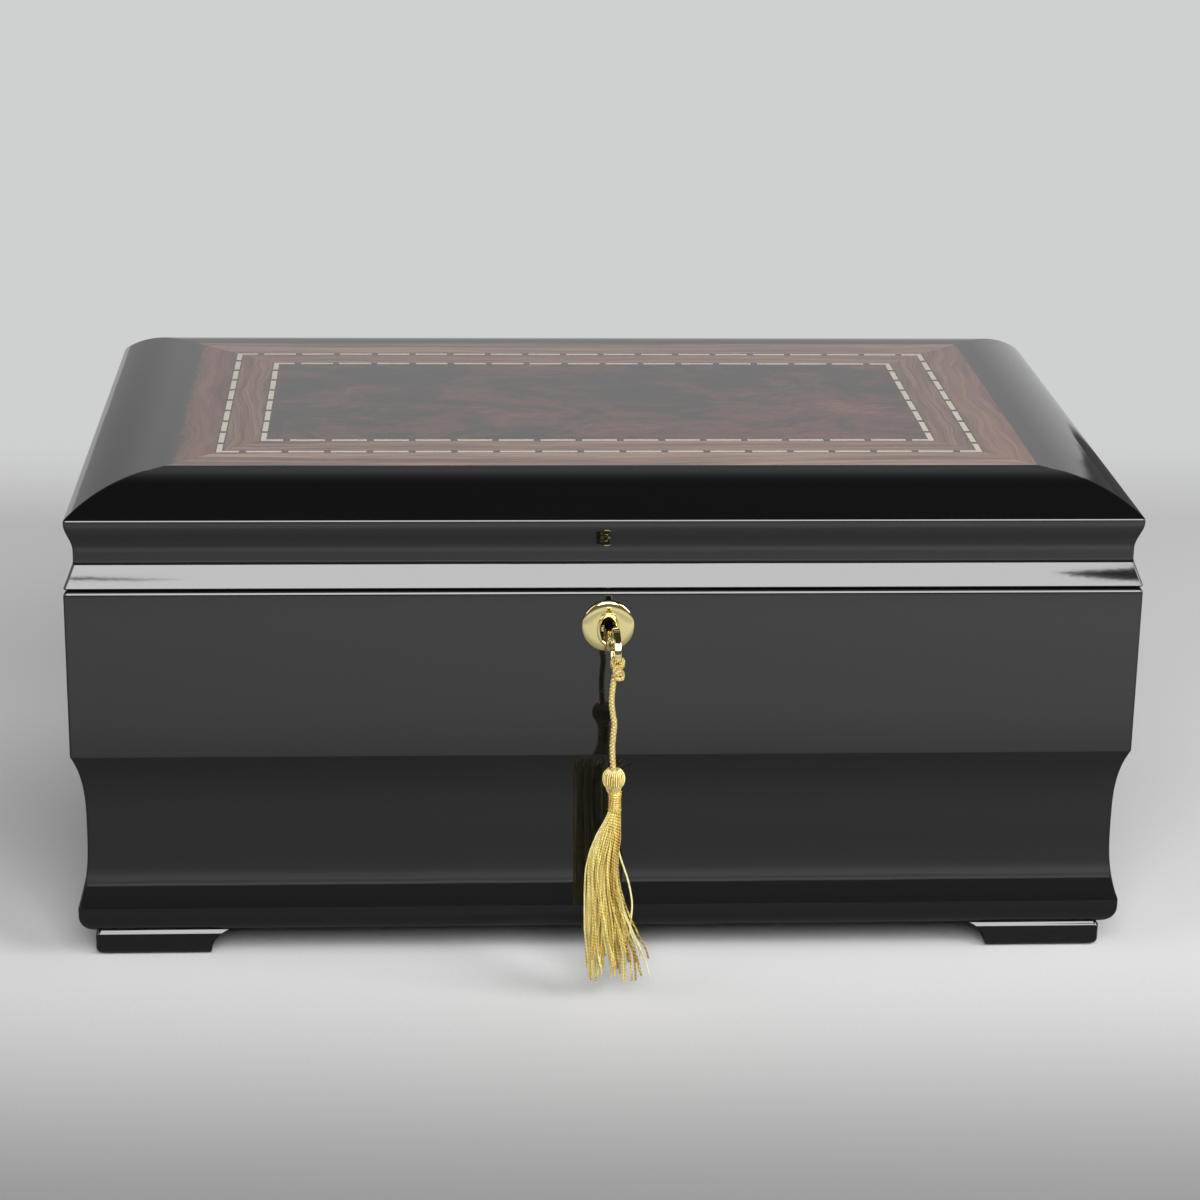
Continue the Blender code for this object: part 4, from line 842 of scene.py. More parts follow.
def tuft_shape(z):
    """Middle and half width of the tuft at a height."""
    for (high, x_high, w_high), (low, x_low, w_low) in zip(TUFT_SHAPE, TUFT_SHAPE[1:]):
        if z >= low:
            share = smooth_step((high - z) / (high - low)) * 0.3 + (high - z) / (high - low) * 0.7
            return x_high + (x_low - x_high) * share, w_high + (w_low - w_high) * share
    return TUFT_SHAPE[-1][1:]


TUFT_TOP = 0.0875
TUFT_COUNT = 100
GOLDEN_TURN = 2.39996
# One thread that hangs clear of the tuft
STRAY = ((0.0030, 0.0700), (0.0046, 0.0640), (0.0078, 0.0540), (0.0096, 0.0440),
         (0.0092, 0.0360), (0.0090, 0.0300))


def tuft_lines():
    """Middle lines of the tuft's threads: gathered at the neck, swept left, splayed below."""
    dice = random.Random(23)
    lines = []
    for k in range(TUFT_COUNT):
        angle = k * GOLDEN_TURN
        share = math.sqrt((k + 0.5) / TUFT_COUNT)
        low = 0.0098 + (dice.random() ** 1.5) * 0.0150
        wander = dice.uniform(-0.12, 0.10)
        flick = dice.uniform(0.0, 0.22) if dice.random() < 0.5 else -dice.uniform(0.0, 0.25)
        wave, start = dice.uniform(0.0002, 0.0008), dice.uniform(0, 6.28)
        lean = dice.uniform(-0.9, 0.9)
        line = []
        for t in between(0, 1, 20):
            z = TUFT_TOP + (low - TUFT_TOP) * t
            middle, half = tuft_shape(z)
            out = half * (share + wander * min(1, 3 * t) + flick * max(0, t - 0.70) / 0.3)
            out += 0.0030 * share * max(0, math.cos(angle)) * max(0, t - 0.72) / 0.28
            sway = wave * math.sin(start + 8 * t) * t
            direction = angle + lean * max(0, t - 0.25)
            line.append(at(middle + out * math.cos(direction) + sway, z,
                           min(out, 0.0105) * math.sin(direction) * 0.62 + sway * 0.5))
        lines.append(line)
    return lines + [curve_through([at(x, z) for x, z in STRAY], 6)]


def make_knot():
    """Two loops over the key's bow and the knot that ties them to the cord."""
    bow = Vector((KEY_LEAN * 0.047, KEY_TIP_Y + 0.0095 + BOX_Y, KEY_LEVEL - KEY_SAG * 0.044))
    bar = bow + Vector((0, 0.0080 * -0.906, 0.0070 * -0.423))
    along_bar = Vector((0, 0.423, -0.906))
    knot, loop_radius, wrap_radius = at(0.0015, 0.1476), 0.00235, 0.00135
    loops = []
    for step in (-0.00085, 0.00085):
        centre = bar + along_bar * step
        down = (knot - centre).normalized()
        loop = [knot + Vector((-0.0006, 0, 0.0008))]
        loop += [centre - down * (loop_radius * math.cos(a))
                 + Vector((loop_radius * math.sin(a), 0, 0)) for a in between(-1.9, 1.9, 16)]
        loop += [knot + Vector((0.0006, 0, 0.0008))]
        loops.append(twisted_tube("loop", curve_through(loop, 3), 0.00082, 0.0040))
    wraps = [knot + Vector((wrap_radius * math.cos(a) + 0.0002 * a / 6, wrap_radius * math.sin(a),
                            0.0020 - 0.00072 * a / 2 + 0.0005 * math.sin(a)))
             for a in between(0, 2 * math.pi * 1.9, 60)]
    tail = [knot + Vector(p) for p in ((-0.0016, -0.0010, -0.0010), (-0.0008, -0.0024, 0.0004),
                                       (0.0008, -0.0023, 0.0012), (0.0020, -0.0008, 0.0004),
                                       (0.0024, 0.0002, -0.0014), (0.0020, -0.0004, -0.0032))]
    tied = [twisted_tube("wraps", wraps, 0.00092, 0.0042),
            twisted_tube("tail", curve_through(tail, 10), 0.00088, 0.0042)]
    piece = add_piece("tassel_knot_tied", merged("tassel_knot_tied", tied, 60), CORD_THREAD)
    fit(piece, "tassel_knot", "gold_thread", "tassel_knot")
    piece = add_piece("tassel_loops", merged("tassel_loops", loops, 60), CORD_THREAD)
    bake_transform(piece)


def make_tassel():
    """The cord, and the head, neck and tuft that hang on it."""
    cord, path = make_cord()
    head = add_piece("tassel_head_yarn", heart_head(), HEAD_THREAD)
    neck = add_piece("tassel_neck_windings", neck_windings(), NECK_THREAD)
    threads = grown(THREADS, {"Thickness": 0.00088, "Sides": 6, "Finish": TUFT_THREAD},
                    lines_mesh(tuft_lines(), "tuft_lines"), "tassel_tuft_threads")
    tuft = add_piece("tassel_tuft_threads", threads, TUFT_THREAD)
    fit(cord, "tassel", "gold_thread", "tassel_cord")
    fit(head, "tassel", "gold_thread", "tassel_head")
    fit(neck, "tassel", "gold_thread")
    fit(tuft, "tassel", "gold_thread", "tassel_skirt")
    length = sum((b - a).length for a, b in zip(path, path[1:]))


make_knot()
make_tassel()


# ---------------- lacquered case and lid

def case_levels():
    """Rings of the case: eased top edge, straight face, long cove, round nose, rebate inside."""
    crease, foot, deep, nose, under = 0.0958, 0.0251, 0.0045, 0.0219, 0.0125
    ease, turn = 0.0026, math.radians(60)
    low = RIM - 0.00035 - ease * math.sin(turn)
    rings = [(-FACE_PROUD + 0.0022, RIM), (-FACE_PROUD + 0.0018, RIM - 0.0001)]
    rings += sweep(-FACE_PROUD + ease, low, -ease, ease, turn, 0, 10)
    rings += [(-FACE_PROUD, low - 0.0006), (-FACE_PROUD, crease + 0.0010)]
    middle, half, steps = (crease + foot) / 2, (crease - foot) / 2, 40
    for k in range(steps + 1):
        share = 1 - 2 * k / steps
        edge = -FACE_PROUD if share > 0 else -0.0001
        rings.append((deep - (deep - edge) * abs(share) ** 3, middle + half * share))
    rings += sweep(0.0080, nose, -0.0081, under - nose, 0, math.pi / 2, 14)[1:]
    rings += [(0.0096, under), (WALL_IN - 0.006, under)]
    outer = [(inset, level, CORNER + 0.4 * max(0, inset - 0.0045)) for inset, level in rings]
    inner = [(WALL_IN - 0.006, 0.0218, 0.0005), (WALL_IN, 0.0218, 0.0005), (WALL_IN, RIM, 0.0005)]
    return outer + inner


def lid_levels():
    """Rings of the lid: its hollow, flared foot, cove, lip, quarter round and inlay's bed."""
    ease, flare_top = 0.0008, 0.0102
    outer = sweep(-0.0007 + ease, LID_LOW + ease, -ease, -ease, math.pi / 2, 0, 4)
    outer += [(-0.0007 + 0.0037 * (1.04 * t - 0.04 * t * t),
               LID_LOW + ease + (flare_top - ease) * t) for t in between(0.04, 1, 10)]
    outer += [(0.0030 + 0.00025 * math.sin(t * math.pi / 2), 0.1808 + 0.0020 * t)
              for t in between(0.15, 1, 6)]
    outer += [(0.00325 * (1 - smooth_step((level - 0.1865) / 0.0130)), level)
              for level in between(0.1858, 0.1993, 18)]
    lip = 0.0017
    outer += sweep(lip, 0.19975, -lip, lip, 0, math.radians(43), 9)
    drop, run = LID_TOP - 0.2007, 0.0330
    radius = (run ** 2 + drop ** 2) / (2 * drop)
    outer += [(inset, LID_TOP - 0.00012 - radius + math.sqrt(radius ** 2 - (run - inset) ** 2))
              for inset in between(0.0009, run, 26)]
    return ([(WALL_IN, 0.1973, 0.0005), (WALL_IN, LID_LOW, 0.0005)]
            + [(inset, level, CORNER) for inset, level in outer]
            + [(INLAY_EDGE, LID_TOP, 0.0002), (INLAY_EDGE, LID_TOP - VENEER - 0.0003, 0.0002)])


def hinge_cutters(base, direction):
    """Seats of the two quadrant hinges in the case, or in the lid."""
    cutters = []

    def cut(sign, x_out, x_in, y_low, y_high, z_out, z_in, lower=0.0):
        xs = sorted((sign * x_out, sign * x_in))
        zs = sorted((base - direction * z_out, base + direction * z_in))
        cutters.append(block((xs[0], y_low, zs[0] - lower), (xs[1], y_high, zs[1])))

    for sign in (-1, 1):
        outer, slot_x = FACE_X - 0.0037, FACE_X - 0.009
        cut(sign, outer, outer - 0.0346, FACE_Y - 0.0113, FACE_Y + 0.003, 0.003, 0.0023)
        cut(sign, outer, outer - 0.0106, FACE_Y - 0.0563, FACE_Y + 0.004, 0.003, 0.0023, 0.0001)
        cut(sign, slot_x + 0.0013, slot_x - 0.0013, HINGE_Y - STAY_RADIUS - 0.0023,
            HINGE_Y - STAY_RADIUS * 0.5592 + 0.0023, 0.001, 0.0252)
        barrel = sorted((sign * (FACE_X - 0.0115), sign * (FACE_X - 0.0385)))
        cutters.append(rod((barrel[0], HINGE_Y, HINGE_Z), (barrel[1], HINGE_Y, HINGE_Z), 0.0029))
    return cutters


def make_shells():
    """The lacquered case and lid, each one smooth skin with the cuts for its fittings."""
    near, far = LOCK_Y - 0.0053, LOCK_Y + 0.0053
    case = loft("case_shell", case_levels(), "joined")
    cutters = hinge_cutters(RIM, -1)
    cutters += [block((-0.0183, LOCK_Y - 0.0043, 0.1442), (0.0183, LOCK_Y + 0.0043, RIM + 0.001)),
                block((-0.0273, near, 0.1682), (0.0273, far, RIM + 0.002)),
                rod((0, -FACE_Y - 0.001, KEY_LEVEL), (0, LOCK_Y, KEY_LEVEL), 0.0038),
                block((-0.0017, -FACE_Y - 0.002, KEY_LEVEL - 0.0075),
                      (0.0017, LOCK_Y - 0.004, KEY_LEVEL))]
    shell = add_piece("case_shell", carve(case, cutters, angle=20), LACQUER, even=True)
    fit(shell, "case", "black_lacquer", "front_wall", "back_wall", "left_wall", "right_wall")
    lid = loft("lid_shell", lid_levels(), "capped")
    cutters = hinge_cutters(LID_LOW, 1)
    cutters.append(block((-0.0273, near, LID_LOW - 0.001), (0.0273, far, 0.1727)))
    shell = add_piece("lid_shell", carve(lid, cutters, angle=20), LACQUER, even=True)
    fit(shell, "lid", "black_lacquer", "lid_rail_front", "lid_rail_back", "lid_rail_left",
        "lid_rail_right", "lid_top_board")


make_shells()


def make_feet():
    """Four bracket feet with a chamfered top edge, cut from one plinth."""
    back, leg, reach, flare, floor, top = 0.0063, 0.0240, 0.0500, 0.0110, 0.0004, 0.0122
    toe = 0.0030
    profile = sweep(back + toe, floor + toe, -toe, -toe, math.pi / 2, 0, 8)
    profile += [(back, 0.0096), (back, 0.0099), (back + 0.00012, 0.0102),
                (back + 0.00095, 0.0118), (back + 0.0012, 0.0121), (back + 0.0014, top)]
    levels = [(back + leg, floor, 0.0005)] + [(i, z, 0.0016) for i, z in profile]
    levels += [(back + leg, top, 0.0005)]
    plinth = loft("plinth", levels, "joined")
    bracket = sweep(reach + flare, floor, -flare, top - floor, 0, math.pi / 2, 14)
    gap = [(bracket[0][0], floor - 0.002)] + bracket + [(bracket[-1][0], top + 0.002)]
    cutters = []
    for half, view in ((HALF_X - back, FRONT_VIEW), (HALF_Y - back, SIDE_VIEW)):
        outline = [(half - u, z) for u, z in gap] + [(u - half, z) for u, z in reversed(gap)]
        cutters.append(plate("gap", outline, 0.6, view))
    feet = carve(plinth, cutters, angle=24)
    for end, sx, sy in (("front_left", -1, -1), ("front_right", 1, -1), ("back_left", -1, 1),
                        ("back_right", 1, 1)):
        bm = bmesh.new()
        bm.from_mesh(feet)
        away = [v for v in bm.verts if v.co.x * sx < 0 or (v.co.y - BOX_Y) * sy < 0]
        bmesh.ops.delete(bm, geom=away, context='VERTS')
        name = "bracket_" + end
        foot = add_piece(name, mesh_of(bm, name, 24, POLE), LACQUER, even=True)
        fit(foot, "case", "black_lacquer", "foot_" + end)


make_feet()


# ---------------- inlay

# Widths of a string and of its dark edge lines, insets of both strings from the lip, and the
# pitch and length of the slips
STRING = 0.0024
LINE = 0.0006
OUTER_STRING = 0.0601
INNER_STRING = 0.0785
PITCH = 0.01836
SLIP = 0.01536


def mitred_frame(name, outer, inner, finish, slot, stands_for=(), tones=(0, 0, 0, 0)):
    """Four mitred strips of veneer, with the grain's place on each, its edge and its tone."""
    bm = bmesh.new()
    layer = bm.loops.layers.uv.new("UVMap")
    tone = bm.faces.layers.float.new("tone")
    edge = bm.verts.layers.float.new("edge")
    for k in range(4):
        half_run, half_across = (HALF_Y, HALF_X) if k % 2 else (HALF_X, HALF_Y)
        corners = [(side * (half_run - inset), inset - half_across)
                   for side, inset in ((-1, outer), (1, outer), (1, inner), (-1, inner))]
        high_verts = [bm.verts.new((x, y, LID_TOP)) for x, y in corners]
        low_verts = [bm.verts.new((x, y, LID_TOP - VENEER)) for x, y in corners]
        for ring in (high_verts, low_verts):
            for vert, away in zip(ring, (0, 0, inner - outer, inner - outer)):
                vert[edge] = away
        faces = [bm.faces.new(high_verts), bm.faces.new(reversed(low_verts))]
        faces += [bm.faces.new((low_verts[j - 1], low_verts[j], high_verts[j], high_verts[j - 1]))
                  for j in range(4)]
        for face in faces:
            face[tone] = tones[k]
            for loop in face.loops:
                x, y, z = loop.vert.co
                loop[layer].uv = (x + 1.7 * k, y + z + 0.31 * k)
        bmesh.ops.rotate(bm, verts=high_verts + low_verts,
                         matrix=Matrix.Rotation(math.radians(90 * k), 3, 'Z'))
    bmesh.ops.translate(bm, vec=HOME, verts=bm.verts)
    fit(add_piece(name, mesh_of(bm, name, 30), finish), "lid", slot, *stands_for)


def slip_rows(name, rows, finish, *nodes):
    """Rows of slips let into the lid: each (count, pitch, length, inset, quarter turn)."""
    meshes = []
    for count, pitch, length, inset, quarter in rows:
        mesh = grown(ROWS, {"Count": count, "Pitch": pitch, "Length": length, "Width": STRING,
                            "Thick": VENEER, "Finish": finish})
        across = (HALF_X if quarter % 2 else HALF_Y) - inset - STRING / 2
        mesh.transform(Matrix.Translation(HOME)
                       @ Matrix.Rotation(math.radians(90 * quarter), 4, 'Z')
                       @ Matrix.Translation((0, -across, LID_TOP - VENEER / 2)))
        meshes.append(mesh)
    fit(add_piece(name, merged(name, meshes), finish), "lid", "stringing", *nodes)


def string_rows(inset, long_count, short_count):
    """Pale slips and dark squares of one string, from the whole slips on its long and short
    sides; the sides are front, back, left and right."""
    gap = PITCH - SLIP
    pale, dark = [], []
    for quarter in (0, 2, 3, 1):
        short = quarter % 2
        count = short_count if short else long_count
        reach = HALF_Y - inset if short else HALF_X - inset - STRING
        last = reach - (count * PITCH - gap) / 2 - gap
        pale.append((count, PITCH, SLIP, inset, quarter))
        pale.append((2, 2 * (reach - last / 2), last, inset, quarter))
        dark.append((count + 1, PITCH, gap, inset, quarter))
    return pale, dark


def make_inlay():
    """Bands, strings and burl let flush into the lid."""
    mitred_frame("outer_band_veneer", INLAY_EDGE, OUTER_STRING - LINE, BAND, "band_veneer",
                 ["outer_band"], (0.0, 0.70, 0.15, 0.90))
    mitred_frame("inner_band_veneer", OUTER_STRING + STRING + LINE, INNER_STRING - LINE, BAND,
                 "band_veneer", ["inner_band"], (0.25, 0.60, 0.30, 0.62))
    x, y = (half - (INNER_STRING + STRING + LINE) for half in (HALF_X, HALF_Y))
    field = add_piece("burl_field", block((-x, -y, LID_TOP - VENEER), (x, y, LID_TOP)), BURL)
    fit(field, "lid", "burl_veneer", "burl_panel")
    for word, inset, long_count, short_count in (("outer", OUTER_STRING, 17, 8),
                                                 ("inner", INNER_STRING, 15, 6)):
        pale, dark = string_rows(inset, long_count, short_count)
        slip_rows(word + "_string_slips", pale, CREAM, word + "_stringing")
        slip_rows(word + "_string_squares", dark, DARK_SLIP)
        for edge, start in (("outside", inset - LINE), ("inside", inset + STRING)):
            mitred_frame(f"{word}_string_line_{edge}", start, start + LINE, DARK_SLIP,
                         "stringing")


make_inlay()


# ---------------- lock, key and brass fittings

def make_escutcheon():
    """Round domed plate with an oval lip round the keyhole."""
    back = -FACE_Y - 0.0003
    middle = KEY_LEVEL - 0.0012
    dome = [(0.0, 0.00165), (0.0060, 0.00165)]
    dome += [(0.0060 + 0.00515 * math.sin(a), 0.00055 + 0.0011 * math.cos(a))
             for a in between(0.05, math.pi / 2, 24)]
    dome += [(0.01115, 0.0), (0.0, 0.0)]
    disc = turned("escutcheon_plate", dome, (0, back, KEY_LEVEL), (0, -1, 0), 128, angle=40)

    def oval(half_wide, half_tall):
        return sweep(0, middle, half_wide, half_tall, 0, 2 * math.pi, 72)[:-1]

    lip = [Vector((x, back + BOX_Y - 0.0016, z)) for x, z in oval(0.0041, 0.0065)]
    lip = twisted_tube("oval_lip", lip, 0.00075, 1.0, 2, 0.0, 14, closed=True)
    hole = plate("opening", oval(0.0040, 0.0064), 0.01,
                 Matrix.Translation((0, back, 0)) @ FRONT_VIEW)
    mesh = merged("escutcheon_polished", [carve(disc, [hole], angle=40), lip], 40)
    plate_piece = add_piece("escutcheon_polished", mesh, BRIGHT_BRASS, even=True)
    fit(plate_piece, "case", "brass", "escutcheon")


def rounded(share):
    """Pushes a cosine or sine outwards, so that an oval becomes a rounded square."""
    return math.copysign(abs(share) ** 0.5, share)


def make_key():
    """Turned key with collars, a ring bow seen on edge, and a notched bit."""
    bow_back = KEY_TIP_Y + 0.0175
    end = LOCK_Y + 0.0021
    length = end - bow_back
    stem = [(0.0, -0.0016), (0.0012, -0.0015), (0.0019, -0.0006), (0.0022, 0.0)]
    stem += sweep(0.0024, 0.0011, 0.0008, 0.0009, -math.pi / 2, math.pi / 2, 8)
    stem += [(0.0018, 0.0022), (0.0018, 0.0031)]
    stem += sweep(0.0018, 0.0037, 0.0006, 0.0006, -math.pi / 2, math.pi / 2, 6)
    stem += [(0.0018, 0.0045), (0.0018, length - 0.0004), (0.0014, length), (0.0, length)]
    bar = turned("stem", stem, (0, bow_back, KEY_LEVEL), (0, 1, 0), 48, angle=40)
    section = [(0.0085 + 0.0010 * rounded(math.cos(a)), 0.00155 * rounded(math.sin(a)))
               for a in between(0, 2 * math.pi, 24)]
    bow = turned("bow", section, (0, KEY_TIP_Y + 0.0095, KEY_LEVEL), (1, 0, 0), 64, angle=50)
    bit = block((-0.0011, end - 0.0042, KEY_LEVEL - 0.0062), (0.0011, end - 0.0003, KEY_LEVEL))
    notch = block((-0.002, end - 0.0026, KEY_LEVEL - 0.0070),
                  (0.002, end - 0.0018, KEY_LEVEL - 0.0045))
    key = merged("key_polished", [bar, bow, carve(bit, [notch])], 40)
    lock = Matrix.Translation((0, LOCK_Y + BOX_Y, KEY_LEVEL))
    sag = Matrix.Rotation(KEY_LEAN, 4, 'Z') @ Matrix.Rotation(KEY_SAG, 4, 'X')
    key.transform(lock @ sag @ lock.inverted())
    fit(add_piece("key_polished", key, BRIGHT_BRASS, even=True), "key", "brass", "key")


def screw_head(radius, thick):
    """A countersunk screw head with its slot, face up at the origin."""
    profile = [(0.0, 0.0), (radius * 0.86, 0.0), (radius, -thick * 0.18),
               (radius * 0.5, -thick), (0.0, -thick)]
    head = mesh_of(lathe(profile, -HOME, (0, 0, 1), 28), "screw_head", 30, POLE)
    slot = block((-radius * 1.2, -radius * 0.13 - BOX_Y, -thick * 0.45),
                 (radius * 1.2, radius * 0.13 - BOX_Y, thick))
    return put("screw_pattern", carve(head, [slot]))


def make_screws():
    """Countersunk screws of the hinges, lock and link plate, flush in their plates."""
    proto = screw_head(0.0019, 0.0011)
    proud = 0.00005
    leg_x, lock_x = FACE_X - 0.009, 0.0225
    places = [(sign * x, y + BOX_Y) for sign in (-1, 1)
              for x, y in ((leg_x, FACE_Y - 0.0490), (leg_x, FACE_Y - 0.0390),
                           (FACE_X - 0.0230, FACE_Y - 0.0070), (FACE_X - 0.0330, FACE_Y - 0.0070),
                           (lock_x, LOCK_Y))]
    for name, points, body, turn in (
            ("case_screws", [(x, y, RIM + proud) for x, y in places], "case", 0),
            ("lid_screws", [(x, -y, proud - LID_LOW) for x, y in places], "lid", math.pi)):
        mesh = bpy.data.meshes.new("screw_places")
        mesh.from_pydata(points, [], [])
        made = grown(COPIES, {"Piece": proto, "Turn Step": 1.1, "Finish": BRASS}, mesh, name)
        made.transform(Matrix.Rotation(turn, 4, 'X'))
        fit(add_piece(name, shaded(made, 30), BRASS), body, "brass")
    bpy.data.objects.remove(proto, do_unlink=True)


make_escutcheon()
make_key()
make_screws()


# ---------------- gauge and humidifier

def text_mesh(words, size, x, y, z):
    """A printed number as a thin mesh, facing down."""
    drawn = bpy.data.curves.new("number", 'FONT')
    drawn.body, drawn.size, drawn.extrude = words, size, 0.00004
    drawn.align_x, drawn.align_y = 'CENTER', 'CENTER'
    mesh = settled(put("number", drawn))
    mesh.transform(Matrix.Translation((x, y + BOX_Y, z)) @ Matrix.Rotation(math.pi, 4, 'X'))
    return mesh


def make_gauge():
    """Dial print with its scale and numbers, the glass over it, and the humidifier's foam."""
    level = CEILING - 0.0003 - 0.0120 + 0.0042 - 0.00003
    marks, scale_radius, number_radius = [], 0.0196, 0.0146
    for k in range(51):
        angle = -math.pi / 2 - math.radians(-225 + 270 * k / 50)
        long, wide = (0.0013, 0.00010) if k % 5 else (0.0024, 0.00018)
        bar = block((scale_radius - long, -wide - BOX_Y, -0.00004),
                    (scale_radius, wide - BOX_Y, 0.00004))
        bar.transform(Matrix.Translation((GAUGE_X, BOX_Y, level))
                      @ Matrix.Rotation(math.pi, 4, 'X') @ Matrix.Rotation(angle, 4, 'Z'))
        marks.append(bar)
        if k % 10 == 0:
            marks.append(text_mesh(str(2 * k), 0.0036, GAUGE_X + number_radius * math.cos(angle),
                                   -number_radius * math.sin(angle), level))
    marks.append(text_mesh("%", 0.0040, GAUGE_X, -0.0080, level))
    glass = turned("gauge_glass", [(0, 0.0), (0.0220, 0.0), (0.0220, 0.0008), (0, 0.0008)],
                   (GAUGE_X, 0, CEILING - 0.0110), (0, 0, 1), 64)
    foam = block((-0.1268, -0.0288, CEILING - 0.0103), (0.0368, 0.0288, CEILING - 0.0060))
    for name, mesh, finish in (("dial_print", merged("dial_print", marks), INK),
                               ("gauge_glass", glass, GLASS), ("humidifier_foam", foam, FOAM)):
        fit(add_piece(name, mesh, finish), "lid")


make_gauge()


# ---------------- finishes of the CAD pieces

def dress(names, finish, ease=0.0):
    """Give CAD pieces their finish, with their edges eased where asked."""
    for name in names.split():
        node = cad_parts[name]
        node.data.materials.clear()
        node.data.materials.append(finish)
        if ease:
            join = node.modifiers.new("joined", 'WELD')
            join.merge_threshold = 1e-6
            soft = node.modifiers.new("eased", 'BEVEL')
            soft.width, soft.segments, soft.limit_method = ease, 2, 'ANGLE'
            soft.angle_limit = math.radians(50)
            soft.harden_normals = True


dress("bottom_board", LACQUER)
dress("felt_pad_front_left felt_pad_front_right felt_pad_back_left felt_pad_back_right", FELT)
dress("case_liner_front case_liner_back lid_liner_front lid_liner_back cedar_floor lid_ceiling "
      "tray", CEDAR_X, 0.0004)
dress("case_liner_left case_liner_right lid_liner_left lid_liner_right tray_rest_left "
      "tray_rest_right base_divider tray_divider", CEDAR_Y, 0.0004)
dress("lock_case link_plate case_leaf_left case_leaf_right lid_leaf_left lid_leaf_right "
      "hinge_stay_left hinge_stay_right hygrometer_case", BRASS, 0.0001)
dress("lock_bolt hinge_pin_left hinge_pin_right", STEEL)
dress("hygrometer_dial", PAPER)
dress("hygrometer_needle", INK)
dress("humidifier_case humidifier_grille", PLASTIC, 0.0003)


# ---------------- floor, world and lamps

def make_floor():
    """Pale paper floor: lit near the object, an even pale grey further off; painted shade in front
    for the camera, and painted shade and a dark patch in reflections.
    """
    f = Finish("floor_paper")
    x, y, z = f.axes(f.place())
    front = -y
    away = (x * x + (y - 0.2) * (y - 0.2)) ** 0.5
    far = away.step(0.9, 2.2).most(y.step(0.38, 0.72)).most(y.step(0.0, 0.2) * 0.35)
    seen = f.node('LightPath', None, None, 'Is Camera Ray')
    mirrored = seen.other('Is Glossy Ray')
    looked = seen.most(mirrored).most(seen.other('Is Transmission Ray'))
    # painted shade: for camera rays the floor darkens in front of the box, towards grey 0.30
    painted_camera_shade = front.step(0.11, 0.38) * (1 - front.step(0.7, 1.6)) * seen
    # painted shade in reflections: for glossy rays the floor in front of the box is darker, towards
    # grey 0.10
    painted_reflected_shade = (0.88 - front.step(0.14, 0.30) * 0.22 - front.step(0.30, 0.46) * 0.32
             + front.step(0.58, 0.76) * 0.30)
    painted_reflected_shade = painted_reflected_shade * front.step(-0.16, -0.10) * (1 - front.step(0.9, 1.8)) * mirrored
    shade = f.ramp(f.noise(f.place(), 600, 2), (0.3, 0.77), (0.7, 0.80))
    shade = f.blend(painted_camera_shade, shade, (0.30, 0.30, 0.30))
    shade = f.blend(painted_reflected_shade, shade, (0.10, 0.10, 0.10))
    paper = f.node('BsdfDiffuse', None, {0: shade})
    glow = f.node('Emission', None, {0: BACKDROP, 1: 1.0})
    lit = f.node('MixShader', None, {0: far * looked, 1: paper, 2: glow})
    # painted reflection: for glossy rays a wedge of floor behind and to the right glows dark grey
    # instead
    painted_dark_reflection = (x - y * 0.36).step(0.165, 0.195) * y.step(0.2, 0.6) * mirrored
    dim = f.node('Emission', None, {0: (0.085, 0.085, 0.085), 1: 1.0})
    sheet = f.show(f.node('MixShader', None, {0: painted_dark_reflection, 1: lit, 2: dim}))
    far_edge = 9.0
    corners = [(sx * far_edge, sy * far_edge, 0) for sx, sy in ((-1, -1), (1, -1), (1, 1), (-1, 1))]
    mesh = bpy.data.meshes.new("floor")
    mesh.from_pydata(corners, [], [(0, 1, 2, 3)])
    add_piece("floor", mesh, sheet)


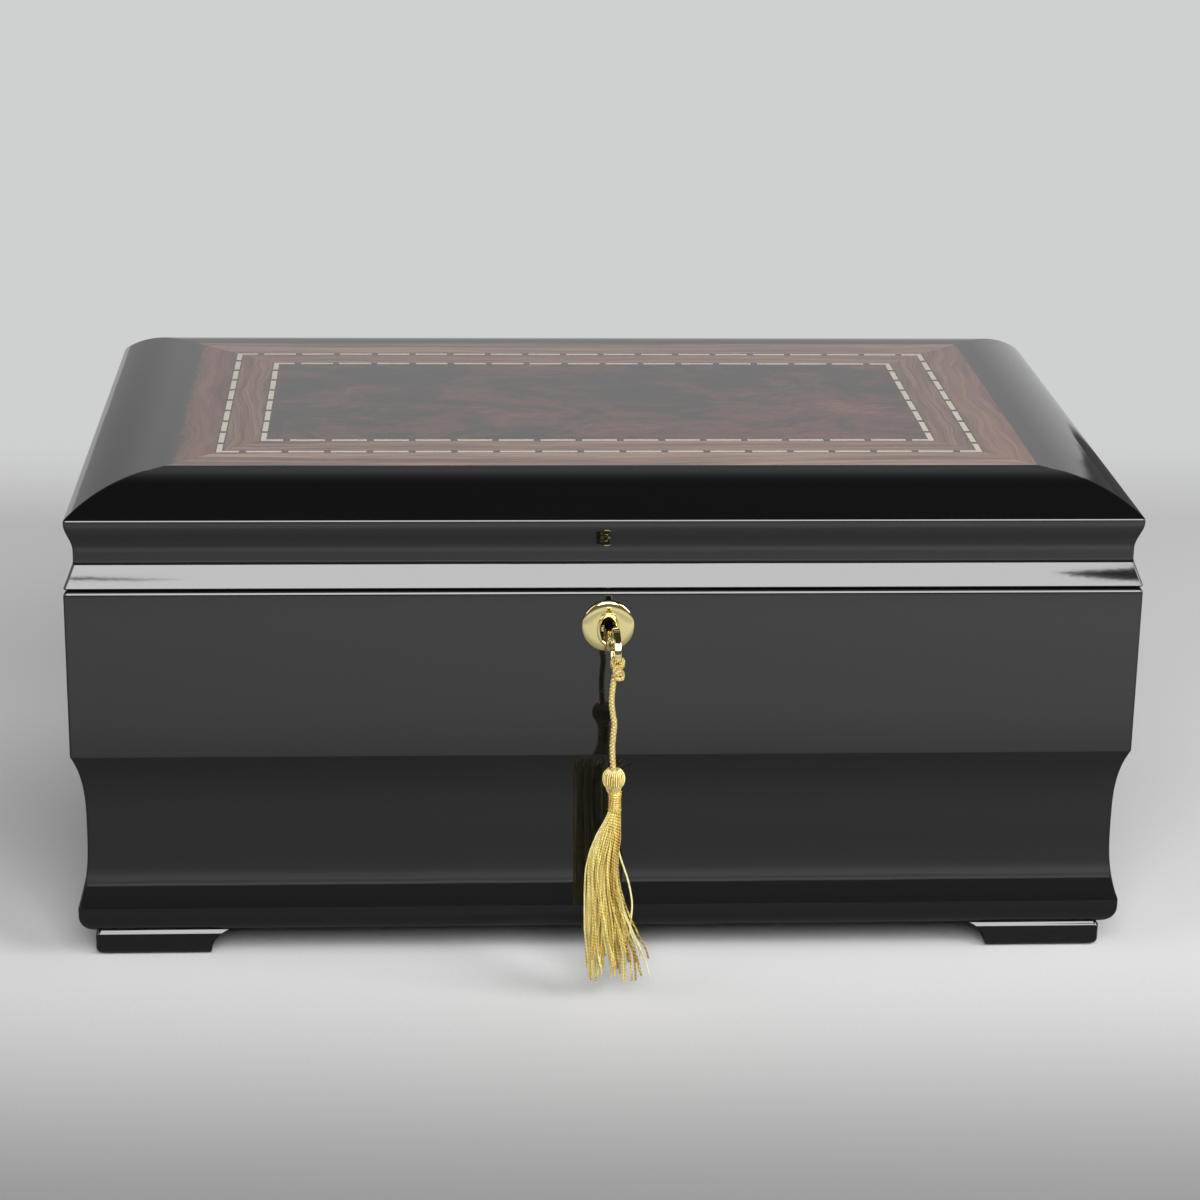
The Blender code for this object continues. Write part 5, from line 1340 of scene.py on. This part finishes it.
def make_world():
    """Pale horizon behind, dim in front, dark overhead."""
    world = bpy.data.worlds.new("studio")
    bpy.context.scene.world = world
    world.use_nodes = True
    tree = world.node_tree
    tree.nodes.clear()
    way = add_node(tree, 'ShaderNodeTexCoord', None, None, 'Generated')
    x = add_node(tree, 'ShaderNodeSeparateXYZ', None, {0: way})
    y, z = x.other('Y'), x.other('Z')
    behind = y.step(-0.25, 0.25)
    wall = (1 - z.step(0.284, 0.298)) * 0.41 + (1 - z.step(0.33, 0.75)) * 0.13
    aside = 1 - (-x).step(0.03, 0.30) * 0.42 + x.step(0.12, 0.40) * 0.15
    card_edge = x - y * 0.36 + (z - 0.04).most(0.0).least(0.12) ** 2.0 * 2.0
    aside = aside * (1 - card_edge.step(-0.003, 0.003) * 0.87)
    room = (1 - z.step(0.10, 0.60)) * 0.09
    bright = wall * aside * behind + room * (1 - behind) + 0.032
    grey = add_node(tree, 'ShaderNodeCombineColor', None, {0: bright, 1: bright, 2: bright})
    seen = add_node(tree, 'ShaderNodeLightPath', None, None, 'Is Camera Ray')
    colour = add_node(tree, 'ShaderNodeMix', {"data_type": 'RGBA'},
                      {0: seen, 6: grey, 7: BACKDROP}, 2)
    sky = add_node(tree, 'ShaderNodeBackground', None, {0: colour, 1: 1.0})
    add_node(tree, 'ShaderNodeOutputWorld', None, {0: sky})


def make_lamp(name, place, target, width, tall, radiance):
    """A soft box facing a target, of a given brightness."""
    lamp = bpy.data.lights.new(name, 'AREA')
    lamp.shape = 'RECTANGLE'
    lamp.size, lamp.size_y = width, tall
    lamp.energy = radiance * width * tall * math.pi
    holder = put(name, lamp)
    holder.location = place
    holder.rotation_euler = (Vector(target) - Vector(place)).to_track_quat('-Z', 'Y').to_euler()


# Dark cards: tip and end in x, height of the tip, low and high corner of the end
CARD_Y = -1.34
CARDS = ((0.463, 0.548, 0.735, 0.718, 0.756), (-0.275, -0.372, 0.740, 0.736, 0.744),
         (0.505, 0.548, 0.711, 0.709, 0.713))


def make_flags():
    """Dark cards beside the front box, which streak the ends of the lid's bright band."""
    card = flecked("card_black", ((300, 300, 300), 2, 0.5), ((0.3, 0.008), (0.7, 0.014)), 0.9)
    corners, faces = [], []
    for tip, end, middle, low, high in CARDS:
        first = len(corners)
        corners += [(tip, CARD_Y, middle), (end, CARD_Y, low), (end, CARD_Y, high)]
        faces.append((first, first + 1, first + 2))
    mesh = bpy.data.meshes.new("cards")
    mesh.from_pydata(corners, [], faces)
    cards = add_piece("studio_cards", mesh, card)
    cards.visible_camera = cards.visible_diffuse = cards.visible_shadow = False


make_floor()
make_world()
make_lamp("front_box", (0.075, -1.62, 1.28), (0.075, 0.0, 0.12), 1.26, 1.10, 6.8)
make_flags()
make_lamp("right_box", (1.35, -0.85, 1.05), (0.0, 0.0, 0.10), 0.9, 0.9, 7.8)
make_lamp("left_box", (-1.55, -0.75, 1.25), (0.0, 0.1, 0.0), 1.3, 1.3, 1.5)

bpy.context.scene.view_settings.view_transform = 'Standard'
